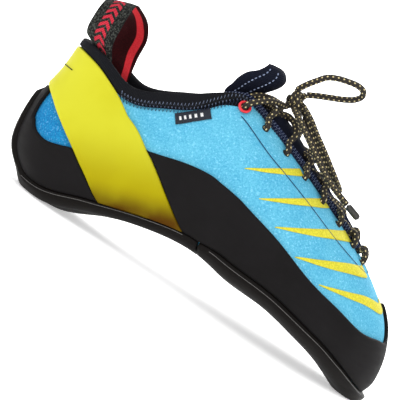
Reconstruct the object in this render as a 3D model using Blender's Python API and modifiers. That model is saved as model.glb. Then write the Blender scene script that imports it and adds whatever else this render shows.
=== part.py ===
"""A lace-up climbing shoe for the right foot, standing empty on a floor.

Metres. +X points to the toe, +Y to the inner side of the foot and +Z up.
The origin is the middle of the heel's resting spot.
The last is one smooth surface. A place on it is (round, level):
round runs from -1 at the toe along the outer side to 0 at the heel's back
and along the inner side to 1 at the toe; level runs from -1 at the middle of
the underside over 0 at the feather edge to 1 at the collar and throat.
"""

import math

import bmesh
import bpy
import numpy as np
from mathutils import Matrix, Vector

# Driving sizes
LENGTH = 0.250
BALL_WIDTH = 0.092
INSTEP_HEIGHT = 0.1105
HEEL_HEIGHT = 0.0885
CAMBER = 0.023
UPPER_WALL = 0.0020
FRONT_SOLE = 0.0050
ARCH_SOLE = 0.0026
HEEL_SOLE = 0.0038
RAND_WALL = 0.0016
STRAP_WALL = 0.0020
CUFF_WALL = 0.0018
INSOLE_WALL = 0.0020
TONGUE_WALL = 0.0050
TONGUE_PADDING = 0.0075
LOOP_WALL = 0.0015
LACE = 0.0036
AGLET = 0.0042
EYELET_HOLE = 0.0046
EYELET_RIM = 0.0016
FIT = 0.0005
PANEL_FIT = 0.0007
TAIL_FIT = 0.0014
LACE_CLEARANCE = 0.0010
KNOT_CLEARANCE = 0.0013
LOOP_CLEARANCE = 0.0008

# Counts of facets
STATIONS = 66
LACE_ROUNDNESS = 1
EYELET_FACETS = 12
TAIL_FACETS = 7
LOOP_FACETS = 34
LACE_STEP = 2.7
STRAP_FACETS = 59

# Share of the length over which each end of the plan is rounded off
HEEL_ROUND = 0.16
TOE_ROUND = 0.10
# Share of the length at which the top edge has reached the instep's height
INSTEP_START = 0.46
# How far a panel line's points crowd towards its ends
END_CROWDING = 0.03
# Step between two panels, as a share of a level
SEAM = 0.009

# Heights of the underside and its rim are shares of CAMBER, above the sole.
# Tops are shares of the height that runs from HEEL_HEIGHT to INSTEP_HEIGHT.
# Centre, ridge and half widths are shares of BALL_WIDTH, and low to opening
# multiply the half width.
SECTION_COLUMNS = (
    "along", "lift", "rim", "top_outer", "top_inner", "centre", "ridge",
    "outer", "inner", "low", "middle", "high", "opening",
)
SECTIONS = (
    (0.00, -0.10, 0.20, 1.000, 1.000, 0.000, 0.000, 0.293, 0.293, 1.12, 1.18, 0.98, 0.86),
    (0.08, 0.005, 0.20, 0.943, 0.955, 0.000, 0.000, 0.299, 0.299, 1.13, 1.17, 1.00, 0.86),
    (0.19, 0.46, 0.56, 0.829, 0.850, -0.011, 0.000, 0.288, 0.288, 1.12, 1.13, 0.98, 0.83),
    (0.32, 0.86, 0.98, 0.895, 0.905, -0.043, 0.000, 0.304, 0.293, 1.10, 1.05, 0.92, 0.72),
    (0.46, 1.00, 1.26, 1.000, 1.000, -0.049, 0.011, 0.359, 0.326, 1.06, 1.00, 0.84, 0.50),
    (0.58, 0.84, 1.18, 0.950, 0.955, -0.038, 0.022, 0.435, 0.402, 1.04, 0.95, 0.76, 0.36),
    (0.70, 0.79, 1.12, 0.867, 0.875, -0.038, 0.043, 0.478, 0.467, 1.04, 0.93, 0.70, 0.30),
    (0.80, 0.59, 0.90, 0.790, 0.800, -0.011, 0.065, 0.446, 0.451, 1.05, 0.94, 0.70, 0.27),
    (0.88, 0.37, 0.66, 0.728, 0.736, 0.033, 0.087, 0.370, 0.370, 1.07, 0.96, 0.72, 0.27),
    (0.95, 0.07, 0.33, 0.658, 0.662, 0.087, 0.109, 0.288, 0.288, 1.08, 0.98, 0.76, 0.30),
    (1.00, -0.18, 0.05, 0.593, 0.593, 0.141, 0.120, 0.272, 0.272, 1.08, 1.00, 0.80, 0.30),
)

# Back and front are the level's two ends, as shares of LENGTH from the origin.
# Under is its rise from underside to rim, rise from rim to top, and sway its
# share of the way from the underside's centre line to the throat's.
LEVEL_COLUMNS = ("side", "back", "front", "under", "rise", "sway")
LEVELS = (
    (0.00, -0.004, 0.828, 0.00, 0.000, 0.00),
    (0.50, -0.034, 0.842, 0.18, 0.000, 0.00),
    (1.00, -0.060, 0.853, 1.00, 0.000, 0.00),
    (1.25, -0.104, 0.862, 1.00, 0.160, 0.10),
    (1.50, -0.1136, 0.847, 1.00, 0.450, 0.35),
    (1.75, -0.0976, 0.802, 1.00, 0.745, 0.70),
    (2.00, -0.0936, 0.712, 1.00, 1.000, 1.00),
)
UNDERSIDE_BULGE = 0.56

# Panel lines as seen from the side: x in shares of LENGTH, z in shares of the
# height of the last's top, which grows between these shares of LENGTH.
TOP_BACK = -0.10
TOP_FRONT = 0.85
RAND_TOP_OUTER = (
    (0.168, 0.563), (0.240, 0.593), (0.290, 0.604), (0.345, 0.593), (0.404, 0.577),
    (0.502, 0.525), (0.620, 0.436), (0.696, 0.392), (0.771, 0.344), (0.822, 0.338),
)
RAND_TOP_INNER = (
    (0.822, 0.430), (0.780, 0.462), (0.700, 0.462), (0.600, 0.480), (0.480, 0.535),
    (0.360, 0.575), (0.260, 0.601), (0.168, 0.599),
)
RAND_TOP_TIP = 0.60
STRAP_REAR = ((-0.082, 0.595), (-0.038, 0.505), (0.006, 0.420), (0.066, 0.307), (0.136, 0.196))
STRAP_FRONT = ((-0.024, 0.883), (0.028, 0.801), (0.095, 0.681), (0.176, 0.553),
               (0.270, 0.389), (0.333, 0.300))
# The strap's two edges at the heel's back, in shares of HEEL_HEIGHT
STRAP_REAR_HEIGHT = 0.640
STRAP_FRONT_HEIGHT = 0.951
WINDOW_LOW = ((-0.091, 0.599), (-0.093, 0.481), (-0.082, 0.410), (-0.048, 0.348),
              (-0.002, 0.362), (0.017, 0.378))

# The strip of sole that climbs the heel's back: its edge level by round.
TAIL_EDGE = ((0.000, 0.59), (0.030, 0.58), (0.045, 0.52), (0.060, 0.34),
             (0.068, 0.24), (0.077, 0.14), (0.095, 0.03), (0.120, 0.00))
# Round at which the rubber beside the tail starts
HEEL_RAND_START = 0.036
# The tail's own clearance fades out over these shares of the length.
TAIL_FIT_SPAN = (0.03, 0.05)
# The two soles meet under the waist, at these shares of the length.
HEEL_SOLE_END = 0.478
FRONT_SOLE_START = 0.482
FRONT_SOLE_BEVEL = 0.060

INSOLE_ROUNDS = (0.11, 0.90)
INSOLE_EDGE = -0.20

CUFF_LEVEL = 0.90
CUFF_END = 0.455

# Eyelets along the throat, as shares of the length, and their level.
EYELETS = (0.470, 0.548, 0.630, 0.706, 0.780, 0.850, 0.912, 0.958)
EYELET_LEVEL = 0.945

# The tongue's free top. Front and height place its middle, half is its half
# width, sweep how far its edges run back and drop how far they fall.
TONGUE_COLUMNS = ("front", "height", "half", "sweep", "drop")
TONGUE_TOP = (
    (0.282, 0.970, 0.110, 0.040, 0.015),
    (0.302, 1.050, 0.130, 0.062, 0.018),
    (0.330, 1.130, 0.165, 0.078, 0.025),
    (0.336, 1.178, 0.170, 0.066, 0.025),
    (0.326, 1.212, 0.145, 0.046, 0.020),
    (0.309, 1.232, 0.105, 0.024, 0.012),
)
TONGUE_THROAT = (0.965, 0.91, 0.85, 0.79, 0.73, 0.67, 0.61, 0.55)
TONGUE_TUCK = (0.80, 0.80, 0.80, 0.80, 0.80, 0.82, 0.88, 0.96)
TONGUE_CURVE = 2.2
TONGUE_LEAN = 0.02
TONGUE_TAPER = 0.60

# The pull loop is sewn inside the collar: rounds of its rear and front edges,
# and the levels it runs between. Above the collar its two edges follow
# x in shares of LENGTH, y of BALL_WIDTH and z of HEEL_HEIGHT.
LOOP_ROUNDS = {-1: (0.10, 0.21), 1: (0.14, 0.25)}
LOOP_LEVELS = (0.84, 0.92, 1.0)
LOOP_COLUMNS = ("rear_x", "rear_y", "rear_z", "front_x", "front_y", "front_z")
LOOP_TOP = (
    (-0.097, -0.163, 1.062, -0.028, -0.206, 1.073),
    (-0.102, -0.185, 1.175, -0.032, -0.228, 1.198),
    (-0.102, -0.152, 1.266, -0.034, -0.196, 1.322),
    (-0.101, -0.098, 1.299, -0.034, -0.130, 1.367),
    (-0.088, 0.000, 1.299, -0.020, -0.033, 1.350),
    (-0.068, 0.120, 1.266, 0.000, 0.098, 1.294),
    (-0.058, 0.196, 1.175, 0.013, 0.190, 1.198),
    (-0.056, 0.206, 1.073, 0.015, 0.228, 1.073),
)

# Lace routes, in shares of LENGTH, BALL_WIDTH and INSTEP_HEIGHT. Each leaves
# the knot in its own direction.
KNOT = (0.378, 0.010, 1.128)
KNOT_RADII = (0.0060, 0.0070, 0.0055)
UPPER_LOOP = (
    (0.377, -0.044, 1.218), (0.396, -0.060, 1.277), (0.409, -0.070, 1.312),
    (0.430, -0.078, 1.338), (0.454, -0.076, 1.354), (0.478, -0.060, 1.363),
    (0.493, -0.034, 1.356), (0.498, -0.004, 1.330), (0.488, 0.020, 1.296),
    (0.468, 0.032, 1.267), (0.440, 0.034, 1.237), (0.412, 0.030, 1.208),
)
LOWER_LOOP = (
    (0.430, -0.086, 1.092), (0.462, -0.100, 1.042), (0.496, -0.104, 0.992),
    (0.524, -0.100, 0.948), (0.550, -0.086, 0.906), (0.566, -0.052, 0.878),
    (0.570, -0.012, 0.866), (0.560, 0.028, 0.872), (0.534, 0.056, 0.900),
    (0.500, 0.062, 0.944), (0.464, 0.058, 0.998), (0.432, 0.048, 1.050),
)
OUTER_END = (
    (0.412, -0.150, 1.060), (0.450, -0.170, 1.008), (0.490, -0.172, 0.950),
    (0.530, -0.158, 0.896), (0.566, -0.138, 0.860), (0.602, -0.120, 0.832),
)
INNER_END = (
    (0.392, 0.200, 1.090), (0.408, 0.290, 1.020), (0.428, 0.355, 0.930),
    (0.444, 0.400, 0.835), (0.456, 0.430, 0.745),
)
LACE_PIECES = (
    ("lace_loop_upper", UPPER_LOOP, (-0.35, -0.35, 0.85), (0.45, 0.20, 0.85)),
    ("lace_loop_lower", LOWER_LOOP, (0.75, -0.65, -0.05), (0.85, 0.45, -0.25)),
    ("lace_end_outer", OUTER_END, (0.25, -0.80, -0.55), None),
    ("lace_end_inner", INNER_END, (0.10, 0.95, 0.10), None),
)
AGLET_LENGTH = 0.010
# Where the two strands from the top eyelets end under the knot
RISE_SEATS = {-1: (-0.45, -0.35, -0.82), 1: (-0.45, 0.35, -0.82)}


def clear_scene():
    for old in list(bpy.data.objects):
        bpy.data.objects.remove(old, do_unlink=True)


def table(columns, rows):
    values = np.array(rows, float)
    return {name: values[:, i] for i, name in enumerate(columns)}


SECTION = table(SECTION_COLUMNS, SECTIONS)
LEVEL = table(LEVEL_COLUMNS, LEVELS)


def spline(knots, values, at):
    """A smooth curve through values at the knots. Values may differ for each place read."""
    knots = np.asarray(knots, float)
    values = np.asarray(values, float)
    at = np.clip(np.asarray(at, float), knots[0], knots[-1])
    steps = np.diff(knots)
    slopes = np.diff(values, axis=-2) / steps[:, None]
    inner = (steps[1:, None] * slopes[..., :-1, :] + steps[:-1, None] * slopes[..., 1:, :])
    inner = inner / (steps[1:, None] + steps[:-1, None])
    tangents = np.concatenate([slopes[..., :1, :], inner, slopes[..., -1:, :]], axis=-2)
    low = np.clip(np.searchsorted(knots, at, side="right") - 1, 0, len(knots) - 2)
    step = steps[low][:, None]
    t = ((at - knots[low]) / steps[low])[:, None]
    if values.ndim == 2:
        first, last, leave, reach = values[low], values[low + 1], tangents[low], tangents[low + 1]
    else:
        each = np.arange(len(at))
        first, last = values[each, low], values[each, low + 1]
        leave, reach = tangents[each, low], tangents[each, low + 1]
    return (
        (1 + 2 * t) * (1 - t) ** 2 * first
        + t * (1 - t) ** 2 * step * leave
        + t * t * (3 - 2 * t) * last
        + t * t * (t - 1) * step * reach
    )


def read(column, along):
    return spline(SECTION["along"], SECTION[column][:, None], along)[:, 0]


def sole_wall(along):
    """The sole's thickness on its way from heel over waist to ball."""
    knots = (0.0, 0.15, 0.30, HEEL_SOLE_END, FRONT_SOLE_START + FRONT_SOLE_BEVEL, 1.0)
    walls = (HEEL_SOLE, HEEL_SOLE, (HEEL_SOLE + ARCH_SOLE) / 2, ARCH_SOLE, FRONT_SOLE, FRONT_SOLE)
    return np.interp(along, knots, walls)


def roundness(along):
    """How wide the plan is near its two ends, as a share of the full width."""
    heel = np.clip(1 - along / HEEL_ROUND, 0, 1)
    toe = np.clip(1 - (1 - along) / TOE_ROUND, 0, 1)
    return np.sqrt(np.maximum(0, 1 - heel**2) * np.maximum(0, 1 - toe**2))


def top_height(along):
    """Height of the last's top edge at a share of its length, before each side's own share."""
    grown = np.clip(along / INSTEP_START, 0, 1)
    return HEEL_HEIGHT + (INSTEP_HEIGHT - HEEL_HEIGHT) * grown


def sections(along):
    """The points that each cross-section of the last runs through, outer top to inner top."""
    seat = PANEL_FIT + sole_wall(along)
    spine = seat + CAMBER * read("lift", along)
    rim = seat + CAMBER * read("rim", along)
    height = top_height(along)
    round_off = roundness(along)
    ones = np.ones_like(along)
    spread = (0 * ones, UNDERSIDE_BULGE * ones, ones, read("low", along),
              read("middle", along), read("high", along), read("opening", along))
    halves = {}
    for sign, name in ((-1, "outer"), (1, "inner")):
        top = height * read("top_" + name, along)
        half = BALL_WIDTH * read(name, along) * round_off
        points = []
        for i in range(len(LEVELS)):
            back, front = LEVEL["back"][i], LEVEL["front"][i]
            x = LENGTH * (back + (front - back) * along)
            sway = LEVEL["sway"][i]
            centre = BALL_WIDTH * ((1 - sway) * read("centre", along) + sway * read("ridge", along))
            y = centre + sign * half * spread[i]
            z = spine + LEVEL["under"][i] * (rim - spine) + LEVEL["rise"][i] * (top - rim)
            points.append(np.stack([x, y, z], axis=-1))
        halves[name] = points
    return np.stack(halves["outer"][:0:-1] + halves["inner"], axis=1)


SIDE_KNOTS = np.concatenate([-LEVEL["side"][:0:-1], LEVEL["side"]])


def surface(along, side):
    return spline(SIDE_KNOTS, sections(along), side)


def place(around, level):
    """Station and side of a place on the last."""
    around = (np.asarray(around, float) + 1) % 2 - 1
    level = np.asarray(level, float)
    along = (1 - np.cos(math.pi * np.abs(around))) / 2
    return along, np.where(around < 0, -1.0, 1.0) * (level + 1)


STEP = 1e-3
NEAR_SPINE = 0.02


def on_last(around, level, away=0.0):
    """Points on the last, or away from it along its outward normal."""
    around, level = np.broadcast_arrays(np.asarray(around, float), np.asarray(level, float))
    shape = around.shape
    around, level = around.ravel(), level.ravel()
    points = surface(*place(around, level))
    at_end = np.abs(np.sin(math.pi * around)) < STEP
    steady = np.where(at_end, np.maximum(level, NEAR_SPINE - 1), level)
    along, side = place(around, steady)
    outward = np.sign(side + (side == 0))[:, None]
    up = (surface(along, side + STEP) - surface(along, side - STEP)) * outward
    way = surface(*place(around + STEP, steady)) - surface(*place(around - STEP, steady))
    normal = np.cross(up, way)
    normal /= np.linalg.norm(normal, axis=1)[:, None]
    away = np.broadcast_to(np.asarray(away, float), shape).ravel()[:, None]
    return (points + away * normal).reshape(shape + (3,))


def seen_at(x, z, sign):
    """The place on the last that shows at x and z from the side."""
    around, level = np.meshgrid(np.linspace(0.004, 0.996, 140), np.linspace(-0.1, 1, 70))
    grid = on_last(sign * around, level)
    best = np.argmin((grid[..., 0] - x) ** 2 + (grid[..., 2] - z) ** 2)
    found = np.array([around.ravel()[best], level.ravel()[best]])
    for _ in range(8):
        trial = np.array([found, found + (STEP, 0), found + (0, STEP)])
        read_at = surface(*place(sign * trial[:, 0], trial[:, 1]))[:, [0, 2]]
        slope = (read_at[1:] - read_at[0]).T / STEP
        found = found + np.clip(np.linalg.lstsq(slope, (x, z) - read_at[0], rcond=None)[0], -0.05, 0.05)
        found = np.clip(found, (0.0, -0.2), (1.0, 1.0))
    return sign * found[0], found[1]


def seen_line(rows, sign):
    heights = [top_height((x - TOP_BACK) / (TOP_FRONT - TOP_BACK)) for x, _ in rows]
    return [seen_at(LENGTH * x, height * z, sign) for (x, z), height in zip(rows, heights)]


def heel_level(height):
    """The level of a height at the middle of the heel's back."""
    levels = np.linspace(-0.2, 1, 240)
    return float(np.interp(height, on_last(np.zeros(240), levels)[:, 2], levels))


def line_through(places, count):
    """Places on a smooth line through the given ones, closer together towards its ends."""
    places = np.array(places, float)
    travel = np.concatenate([[0], np.cumsum(np.linalg.norm(np.diff(places, axis=0), axis=1))])
    even = np.linspace(0, 1, count)
    return spline(travel, places, travel[-1] * (even - END_CROWDING * np.sin(2 * math.pi * even)))


def line_by_round(places, around):
    """The level of a panel line at each round."""
    places = np.array(sorted(places), float)
    return spline(places[:, 0], places[:, 1:], np.asarray(around, float))[:, 0]


def stations(first, last):
    """Rounds of the shared stations between two rounds, with both ends."""
    shared = np.linspace(-1, 3, 2 * STATIONS + 1)
    margin = 0.3 / STATIONS
    inside = shared[(shared > first + margin) & (shared < last - margin)]
    return np.concatenate([[first], inside, [last]])


def mesh_object(name, vertices, faces, material):
    data = bpy.data.meshes.new(name)
    data.from_pydata([tuple(v) for v in vertices], [], faces)
    work = bmesh.new()
    work.from_mesh(data)
    bmesh.ops.remove_doubles(work, verts=work.verts, dist=1e-6)
    bmesh.ops.recalc_face_normals(work, faces=work.faces)
    work.to_mesh(data)
    work.free()
    obj = bpy.data.objects.new(name, data)
    return finish(obj, material)


def finish(obj, material):
    COLLECTION.objects.link(obj)
    obj.data.materials.clear()
    obj.data.materials.append(material)
    if obj.type == "MESH":
        obj.data.shade_smooth()
        obj.data.set_sharp_from_angle(angle=math.radians(40))
    return obj


def shell(name, outer, inner, material, ring=False, folded=(False, False)):
    """A solid between two grids of points. A ring closes on itself, and a folded end meets itself."""
    rows, columns = outer.shape[:2]
    vertices = np.concatenate([outer.reshape(-1, 3), inner.reshape(-1, 3)])
    inside = rows * columns

    def at(i, j, layer=0):
        return layer * inside + (i % rows) * columns + j

    faces = []
    for i in range(rows if ring else rows - 1):
        for j in range(columns - 1):
            faces.append((at(i, j), at(i + 1, j), at(i + 1, j + 1), at(i, j + 1)))
            faces.append((at(i, j, 1), at(i, j + 1, 1), at(i + 1, j + 1, 1), at(i + 1, j, 1)))
        for j, turn in ((0, 1), (columns - 1, -1)):
            faces.append((at(i, j), at(i, j, 1), at(i + 1, j, 1), at(i + 1, j))[::turn])
    for i, fold in ((0, folded[0]), (rows - 1, folded[1])):
        if ring or fold:
            continue
        for j in range(columns - 1):
            faces.append((at(i, j), at(i, j + 1), at(i, j + 1, 1), at(i, j, 1)))
    return mesh_object(name, vertices, faces, material)


def panel(name, low, high, shares, wall, material, ring=False):
    """A solid on the last between two lines of places, PANEL_FIT away from the upper."""
    low, high = np.array(low, float)[:, None, :], np.array(high, float)[:, None, :]
    shares = np.asarray(shares, float)[None, :, None]
    grid = low + (high - low) * shares
    around, level = grid[..., 0], grid[..., 1]
    outer = on_last(around, level, PANEL_FIT + wall)
    inner = on_last(around, level, PANEL_FIT)
    return shell(name, outer, inner, material, ring)


def across(name, around, columns, near, far, material, folded):
    """A solid under the foot. Each row of columns runs from the middle, 0, to its edge at both sides."""
    side = np.concatenate([-columns[:, :0:-1], columns], axis=1)
    rounds = np.abs(around)[:, None] * np.where(side < 0, -1.0, 1.0)
    level = np.abs(side) - 1
    along, _ = place(rounds, level)
    outer = on_last(rounds, level, far(along))
    inner = on_last(rounds, level, near(along))
    outer[..., 2] = np.maximum(outer[..., 2], 0)
    return shell(name, outer, inner, material, folded=folded)


def make_material(name, color, roughness, metallic=0.0):
    material = bpy.data.materials.new(name)
    material.use_nodes = True
    shader = material.node_tree.nodes["Principled BSDF"]
    shader.inputs["Base Color"].default_value = (*color, 1)
    shader.inputs["Roughness"].default_value = roughness
    shader.inputs["Metallic"].default_value = metallic
    material.diffuse_color = (*color, 1)
    return material


def make_upper():
    rounds = np.linspace(-1, 1, STATIONS, endpoint=False)
    levels = np.array((-0.30, -0.17, -0.06, 0.04, 0.14, 0.26, 0.40, 0.56, 0.72, 0.87, 1.0))
    around, level = np.meshgrid(rounds, levels, indexing="ij")
    outer = on_last(around, level)
    inner = on_last(around, level, -UPPER_WALL)
    return shell("upper", outer, inner, MATERIALS["upper"], ring=True)


def make_insole():
    rounds = stations(*INSOLE_ROUNDS)
    columns = np.tile((0, 0.42, 1 + INSOLE_EDGE), (len(rounds), 1))
    seat = UPPER_WALL + 2 * FIT
    return across(
        "insole", rounds, columns,
        lambda along: -np.full_like(along, seat + INSOLE_WALL),
        lambda along: -np.full_like(along, seat),
        MATERIALS["insole"], (False, False),
    )


def round_of(along):
    return math.acos(1 - 2 * along) / math.pi


def make_heel_sole():
    knots, edges = np.array(TAIL_EDGE).T
    rounds = np.unique(np.concatenate([knots, stations(knots[-1], round_of(HEEL_SOLE_END))]))
    tail = np.interp(rounds, knots, edges, right=0)
    under = np.tile((0, 0.35, 0.65, 0.85, 1), (len(rounds), 1))
    climb = 1 + tail[:, None] * np.linspace(0, 1, TAIL_FACETS + 1)[1:]
    return across(
        "outsole_heel", rounds, np.concatenate([under, climb], axis=1),
        lambda along: np.interp(along, TAIL_FIT_SPAN, (TAIL_FIT, PANEL_FIT)),
        lambda along: PANEL_FIT + sole_wall(along),
        MATERIALS["rubber"], (True, False),
    )


def front_sole_wall(along):
    """Full thickness, with a bevelled back edge."""
    grown = np.clip((along - FRONT_SOLE_START) / FRONT_SOLE_BEVEL, 0, 1)
    return PANEL_FIT + ARCH_SOLE + (FRONT_SOLE - ARCH_SOLE) * grown


def make_front_sole():
    rounds = stations(round_of(FRONT_SOLE_START), 1.0)
    columns = np.tile((0, 0.34, 0.66, 0.88, 1), (len(rounds), 1))
    return across(
        "outsole_front", rounds, columns,
        lambda along: np.full_like(along, PANEL_FIT), front_sole_wall,
        MATERIALS["rubber"], (False, True),
    )


def strap_lines():
    """The strap's rear and front edges from outer sole edge over the heel's back to inner sole edge."""
    lines = []
    for rows, height in ((STRAP_REAR, STRAP_REAR_HEIGHT), (STRAP_FRONT, STRAP_FRONT_HEIGHT)):
        outer, inner = seen_line(rows, -1), seen_line(rows, 1)
        outer[-1], inner[-1] = (outer[-1][0], SEAM), (inner[-1][0], SEAM)
        middle = [(0.0, heel_level(HEEL_HEIGHT * height))]
        lines.append(line_through(outer[::-1] + middle + inner, STRAP_FACETS))
    return lines


def make_strap(lines):
    return panel("heel_strap", lines[0], lines[1], np.linspace(0, 1, 5), STRAP_WALL, MATERIALS["strap"])


def level_on(line, around):
    """The level at which a line of places passes each round."""
    order = np.argsort(line[:, 0])
    return np.interp(around, line[order, 0], line[order, 1])


def make_heel_rands(lines):
    """The rubber at each side of the heel, between sole, tail, window and strap."""
    tail = np.array(TAIL_EDGE)
    for name, sign in (("outer", -1), ("inner", 1)):
        window = np.abs(seen_line(WINDOW_LOW, sign))
        end = abs(lines[0][0 if sign < 0 else -1][0])
        rounds = stations(HEEL_RAND_START, end - SEAM)
        knots = tail[tail[:, 0] > HEEL_RAND_START, 0]
        beside = sign * lines[0][::2, 0]
        beside = beside[(beside > window[-1, 0]) & (beside < end - SEAM)]
        rounds = np.unique(np.concatenate([rounds, knots, window[:4, 0], beside]))
        low = np.interp(rounds, tail[:, 0], tail[:, 1], right=0) + SEAM
        strap = level_on(lines[0], sign * rounds) - 4 * SEAM
        high = np.minimum(np.interp(rounds, window[:, 0], window[:, 1], left=1), strap)
        high = np.maximum(high, low + SEAM)
        low_line = np.stack([sign * rounds, low], axis=1)
        high_line = np.stack([sign * rounds, high], axis=1)
        shares = (0, 0.12, 0.3, 0.6, 1)
        panel("rand_heel_" + name, low_line, high_line, shares, RAND_WALL, MATERIALS["rand"])


def make_front_rand(lines):
    """The rubber round the front, from the strap's front edge over the toe and back to it."""
    outer, inner = seen_line(RAND_TOP_OUTER, -1), seen_line(RAND_TOP_INNER, 1)
    places = inner + [(1.0, RAND_TOP_TIP)] + [(2 + r, v) for r, v in outer]
    rounds = stations(inner[-1][0], 2 + outer[0][0])
    local = (rounds + 1) % 2 - 1
    strap = level_on(lines[1], local) + 2 * SEAM
    ahead = np.abs(local) > np.where(local < 0, -lines[1][0][0], lines[1][-1][0])
    low = np.where(ahead, SEAM, np.maximum(strap, SEAM))
    high = np.maximum(line_by_round(places, rounds), low + SEAM)
    low_line, high_line = np.stack([rounds, low], axis=1), np.stack([rounds, high], axis=1)
    shares = (0, 0.1, 0.26, 0.48, 0.74, 1)
    return panel("rand_front", low_line, high_line, shares, RAND_WALL, MATERIALS["rand"])


def make_cuff(lines):
    rounds = stations(-CUFF_END, CUFF_END)
    low = np.maximum(CUFF_LEVEL, level_on(lines[1], rounds) + 2 * SEAM)
    places = np.stack([rounds, low], axis=1), np.stack([rounds, np.ones(len(rounds))], axis=1)
    return panel("collar_cuff", *places, (0, 0.5, 1), CUFF_WALL, MATERIALS["cuff"])


def smooth_route(rows, scale, spacing):
    points = np.array(rows, float) * scale
    travel = np.concatenate([[0], np.cumsum(np.linalg.norm(np.diff(points, axis=0), axis=1))])
    count = max(2, int(round(travel[-1] / spacing)) + 1)
    return spline(travel, points, np.linspace(0, travel[-1], count))


LACE_SCALE = np.array((LENGTH, BALL_WIDTH, INSTEP_HEIGHT))


def tube(name, points, diameter, material):
    curve = bpy.data.curves.new(name, "CURVE")
    curve.dimensions = "3D"
    curve.bevel_depth = diameter / 2
    curve.bevel_resolution = LACE_ROUNDNESS
    curve.use_fill_caps = True
    line = curve.splines.new("POLY")
    line.points.add(len(points) - 1)
    for point, co in zip(line.points, points):
        point.co = (*co, 1)
    return finish(bpy.data.objects.new(name, curve), material)


def as_mesh(obj):
    """The curve's solid as a mesh object of the same name."""
    graph = bpy.context.evaluated_depsgraph_get()
    data = bpy.data.meshes.new_from_object(obj.evaluated_get(graph))
    work = bmesh.new()
    work.from_mesh(data)
    bmesh.ops.remove_doubles(work, verts=work.verts, dist=1e-6)
    work.to_mesh(data)
    work.free()
    name, material = obj.name, obj.data.materials[0]
    solid = bpy.data.objects.new(name, data)
    solid.matrix_world = obj.matrix_world
    bpy.data.objects.remove(obj, do_unlink=True)
    solid.name = name
    return finish(solid, material)


def tongue_throat_rows():
    """The tongue's face under the throat: tucked inside the upper at both sides and bridged between."""
    rows = []
    for along, tuck in zip(TONGUE_THROAT, TONGUE_TUCK):
        tucks = np.linspace(tuck, 1, 3)
        outer = on_last(-round_of(along), tucks, -UPPER_WALL - 2 * FIT)
        inner = on_last(round_of(along), tucks, -UPPER_WALL - 2 * FIT)
        ends = np.array([outer[1], outer[2], inner[2], inner[1]])
        bridge = spline((0.0, 0.2, 0.8, 1.0), ends, np.linspace(0.2, 0.8, 5))
        rows.append(np.concatenate([outer[:2], bridge, inner[1::-1]]))
    return rows


def tongue_top_rows():
    """The tongue's free top, curved round the front of the ankle."""
    spread = np.linspace(-1, 1, 9)
    rows = []
    for front, height, half, sweep, drop in TONGUE_TOP:
        x = LENGTH * (front - sweep * np.abs(spread) ** TONGUE_CURVE)
        y = BALL_WIDTH * (TONGUE_LEAN + half * np.sin(spread * math.pi / 2))
        z = INSTEP_HEIGHT * (height - drop * spread**2)
        rows.append(np.stack([x, y, z], axis=-1))
    return rows


def make_tongue():
    throat, top = tongue_throat_rows(), tongue_top_rows()
    grid = np.array(throat + top)
    normal = np.cross(np.gradient(grid, axis=1), np.gradient(grid, axis=0))
    normal /= np.linalg.norm(normal, axis=2)[..., None]
    last = len(grid) - 1
    knots = (0, 3, len(throat) - 1, len(throat) + 1, last - 1, last)
    thin = TONGUE_WALL / 2
    walls = np.interp(np.arange(last + 1), knots,
                      (thin, TONGUE_WALL, TONGUE_WALL, TONGUE_PADDING, TONGUE_PADDING, thin))
    spread = np.linspace(-1, 1, grid.shape[1])
    walls = walls[:, None, None] * (1 - TONGUE_TAPER * spread[None, :, None] ** 2)
    return shell("tongue", grid, grid - normal * walls, MATERIALS["tongue"])


def loop_base(sign):
    """The loop's edges where it is sewn to the inside of the collar, bottom first."""
    away = -UPPER_WALL - LOOP_WALL / 2 - LOOP_CLEARANCE
    rear, front = (on_last(sign * r, LOOP_LEVELS, away) for r in LOOP_ROUNDS[sign])
    return np.concatenate([rear, front], axis=1)


def make_pull_loop():
    scale = (LENGTH, BALL_WIDTH, HEEL_HEIGHT) * 2
    rows = np.concatenate([loop_base(-1), np.array(LOOP_TOP) * scale, loop_base(1)[::-1]])
    middle = (rows[:, :3] + rows[:, 3:]) / 2
    travel = np.concatenate([[0], np.cumsum(np.linalg.norm(np.diff(middle, axis=0), axis=1))])
    line = spline(travel, rows, np.linspace(0, travel[-1], LOOP_FACETS))
    vertices, faces = [], []
    for row in line:
        vertices += [row[:3], (row[:3] + row[3:]) / 2, row[3:]]
    for i in range(len(line) - 1):
        for j in (0, 1):
            first = 3 * i + j
            faces.append((first, first + 3, first + 4, first + 1))
    webbing = mesh_object("pull_loop", vertices, faces, MATERIALS["webbing"])
    thick = webbing.modifiers.new("thickness", "SOLIDIFY")
    thick.thickness = LOOP_WALL
    thick.offset = 0
    return webbing


def eyelet_place(i, sign):
    return sign * round_of(EYELETS[i]), EYELET_LEVEL


def make_eyelets():
    for name, sign in (("eyelet_outer", -1), ("eyelet_inner", 1)):
        around, level = eyelet_place(0, sign)
        seat = on_last(around, level)
        centre = on_last(around, level, EYELET_RIM / 2 + FIT)
        bpy.ops.mesh.primitive_torus_add(
            major_segments=EYELET_FACETS, minor_segments=6, location=centre,
            major_radius=(EYELET_HOLE + EYELET_RIM) / 2, minor_radius=EYELET_RIM / 2,
        )
        obj = bpy.context.object
        obj.name = name
        obj.rotation_mode = "QUATERNION"
        obj.rotation_quaternion = Vector(centre - seat).to_track_quat("Z", "Y")
        for holder in list(obj.users_collection):
            holder.objects.unlink(obj)
        finish(obj, MATERIALS["eyelet"])


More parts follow.
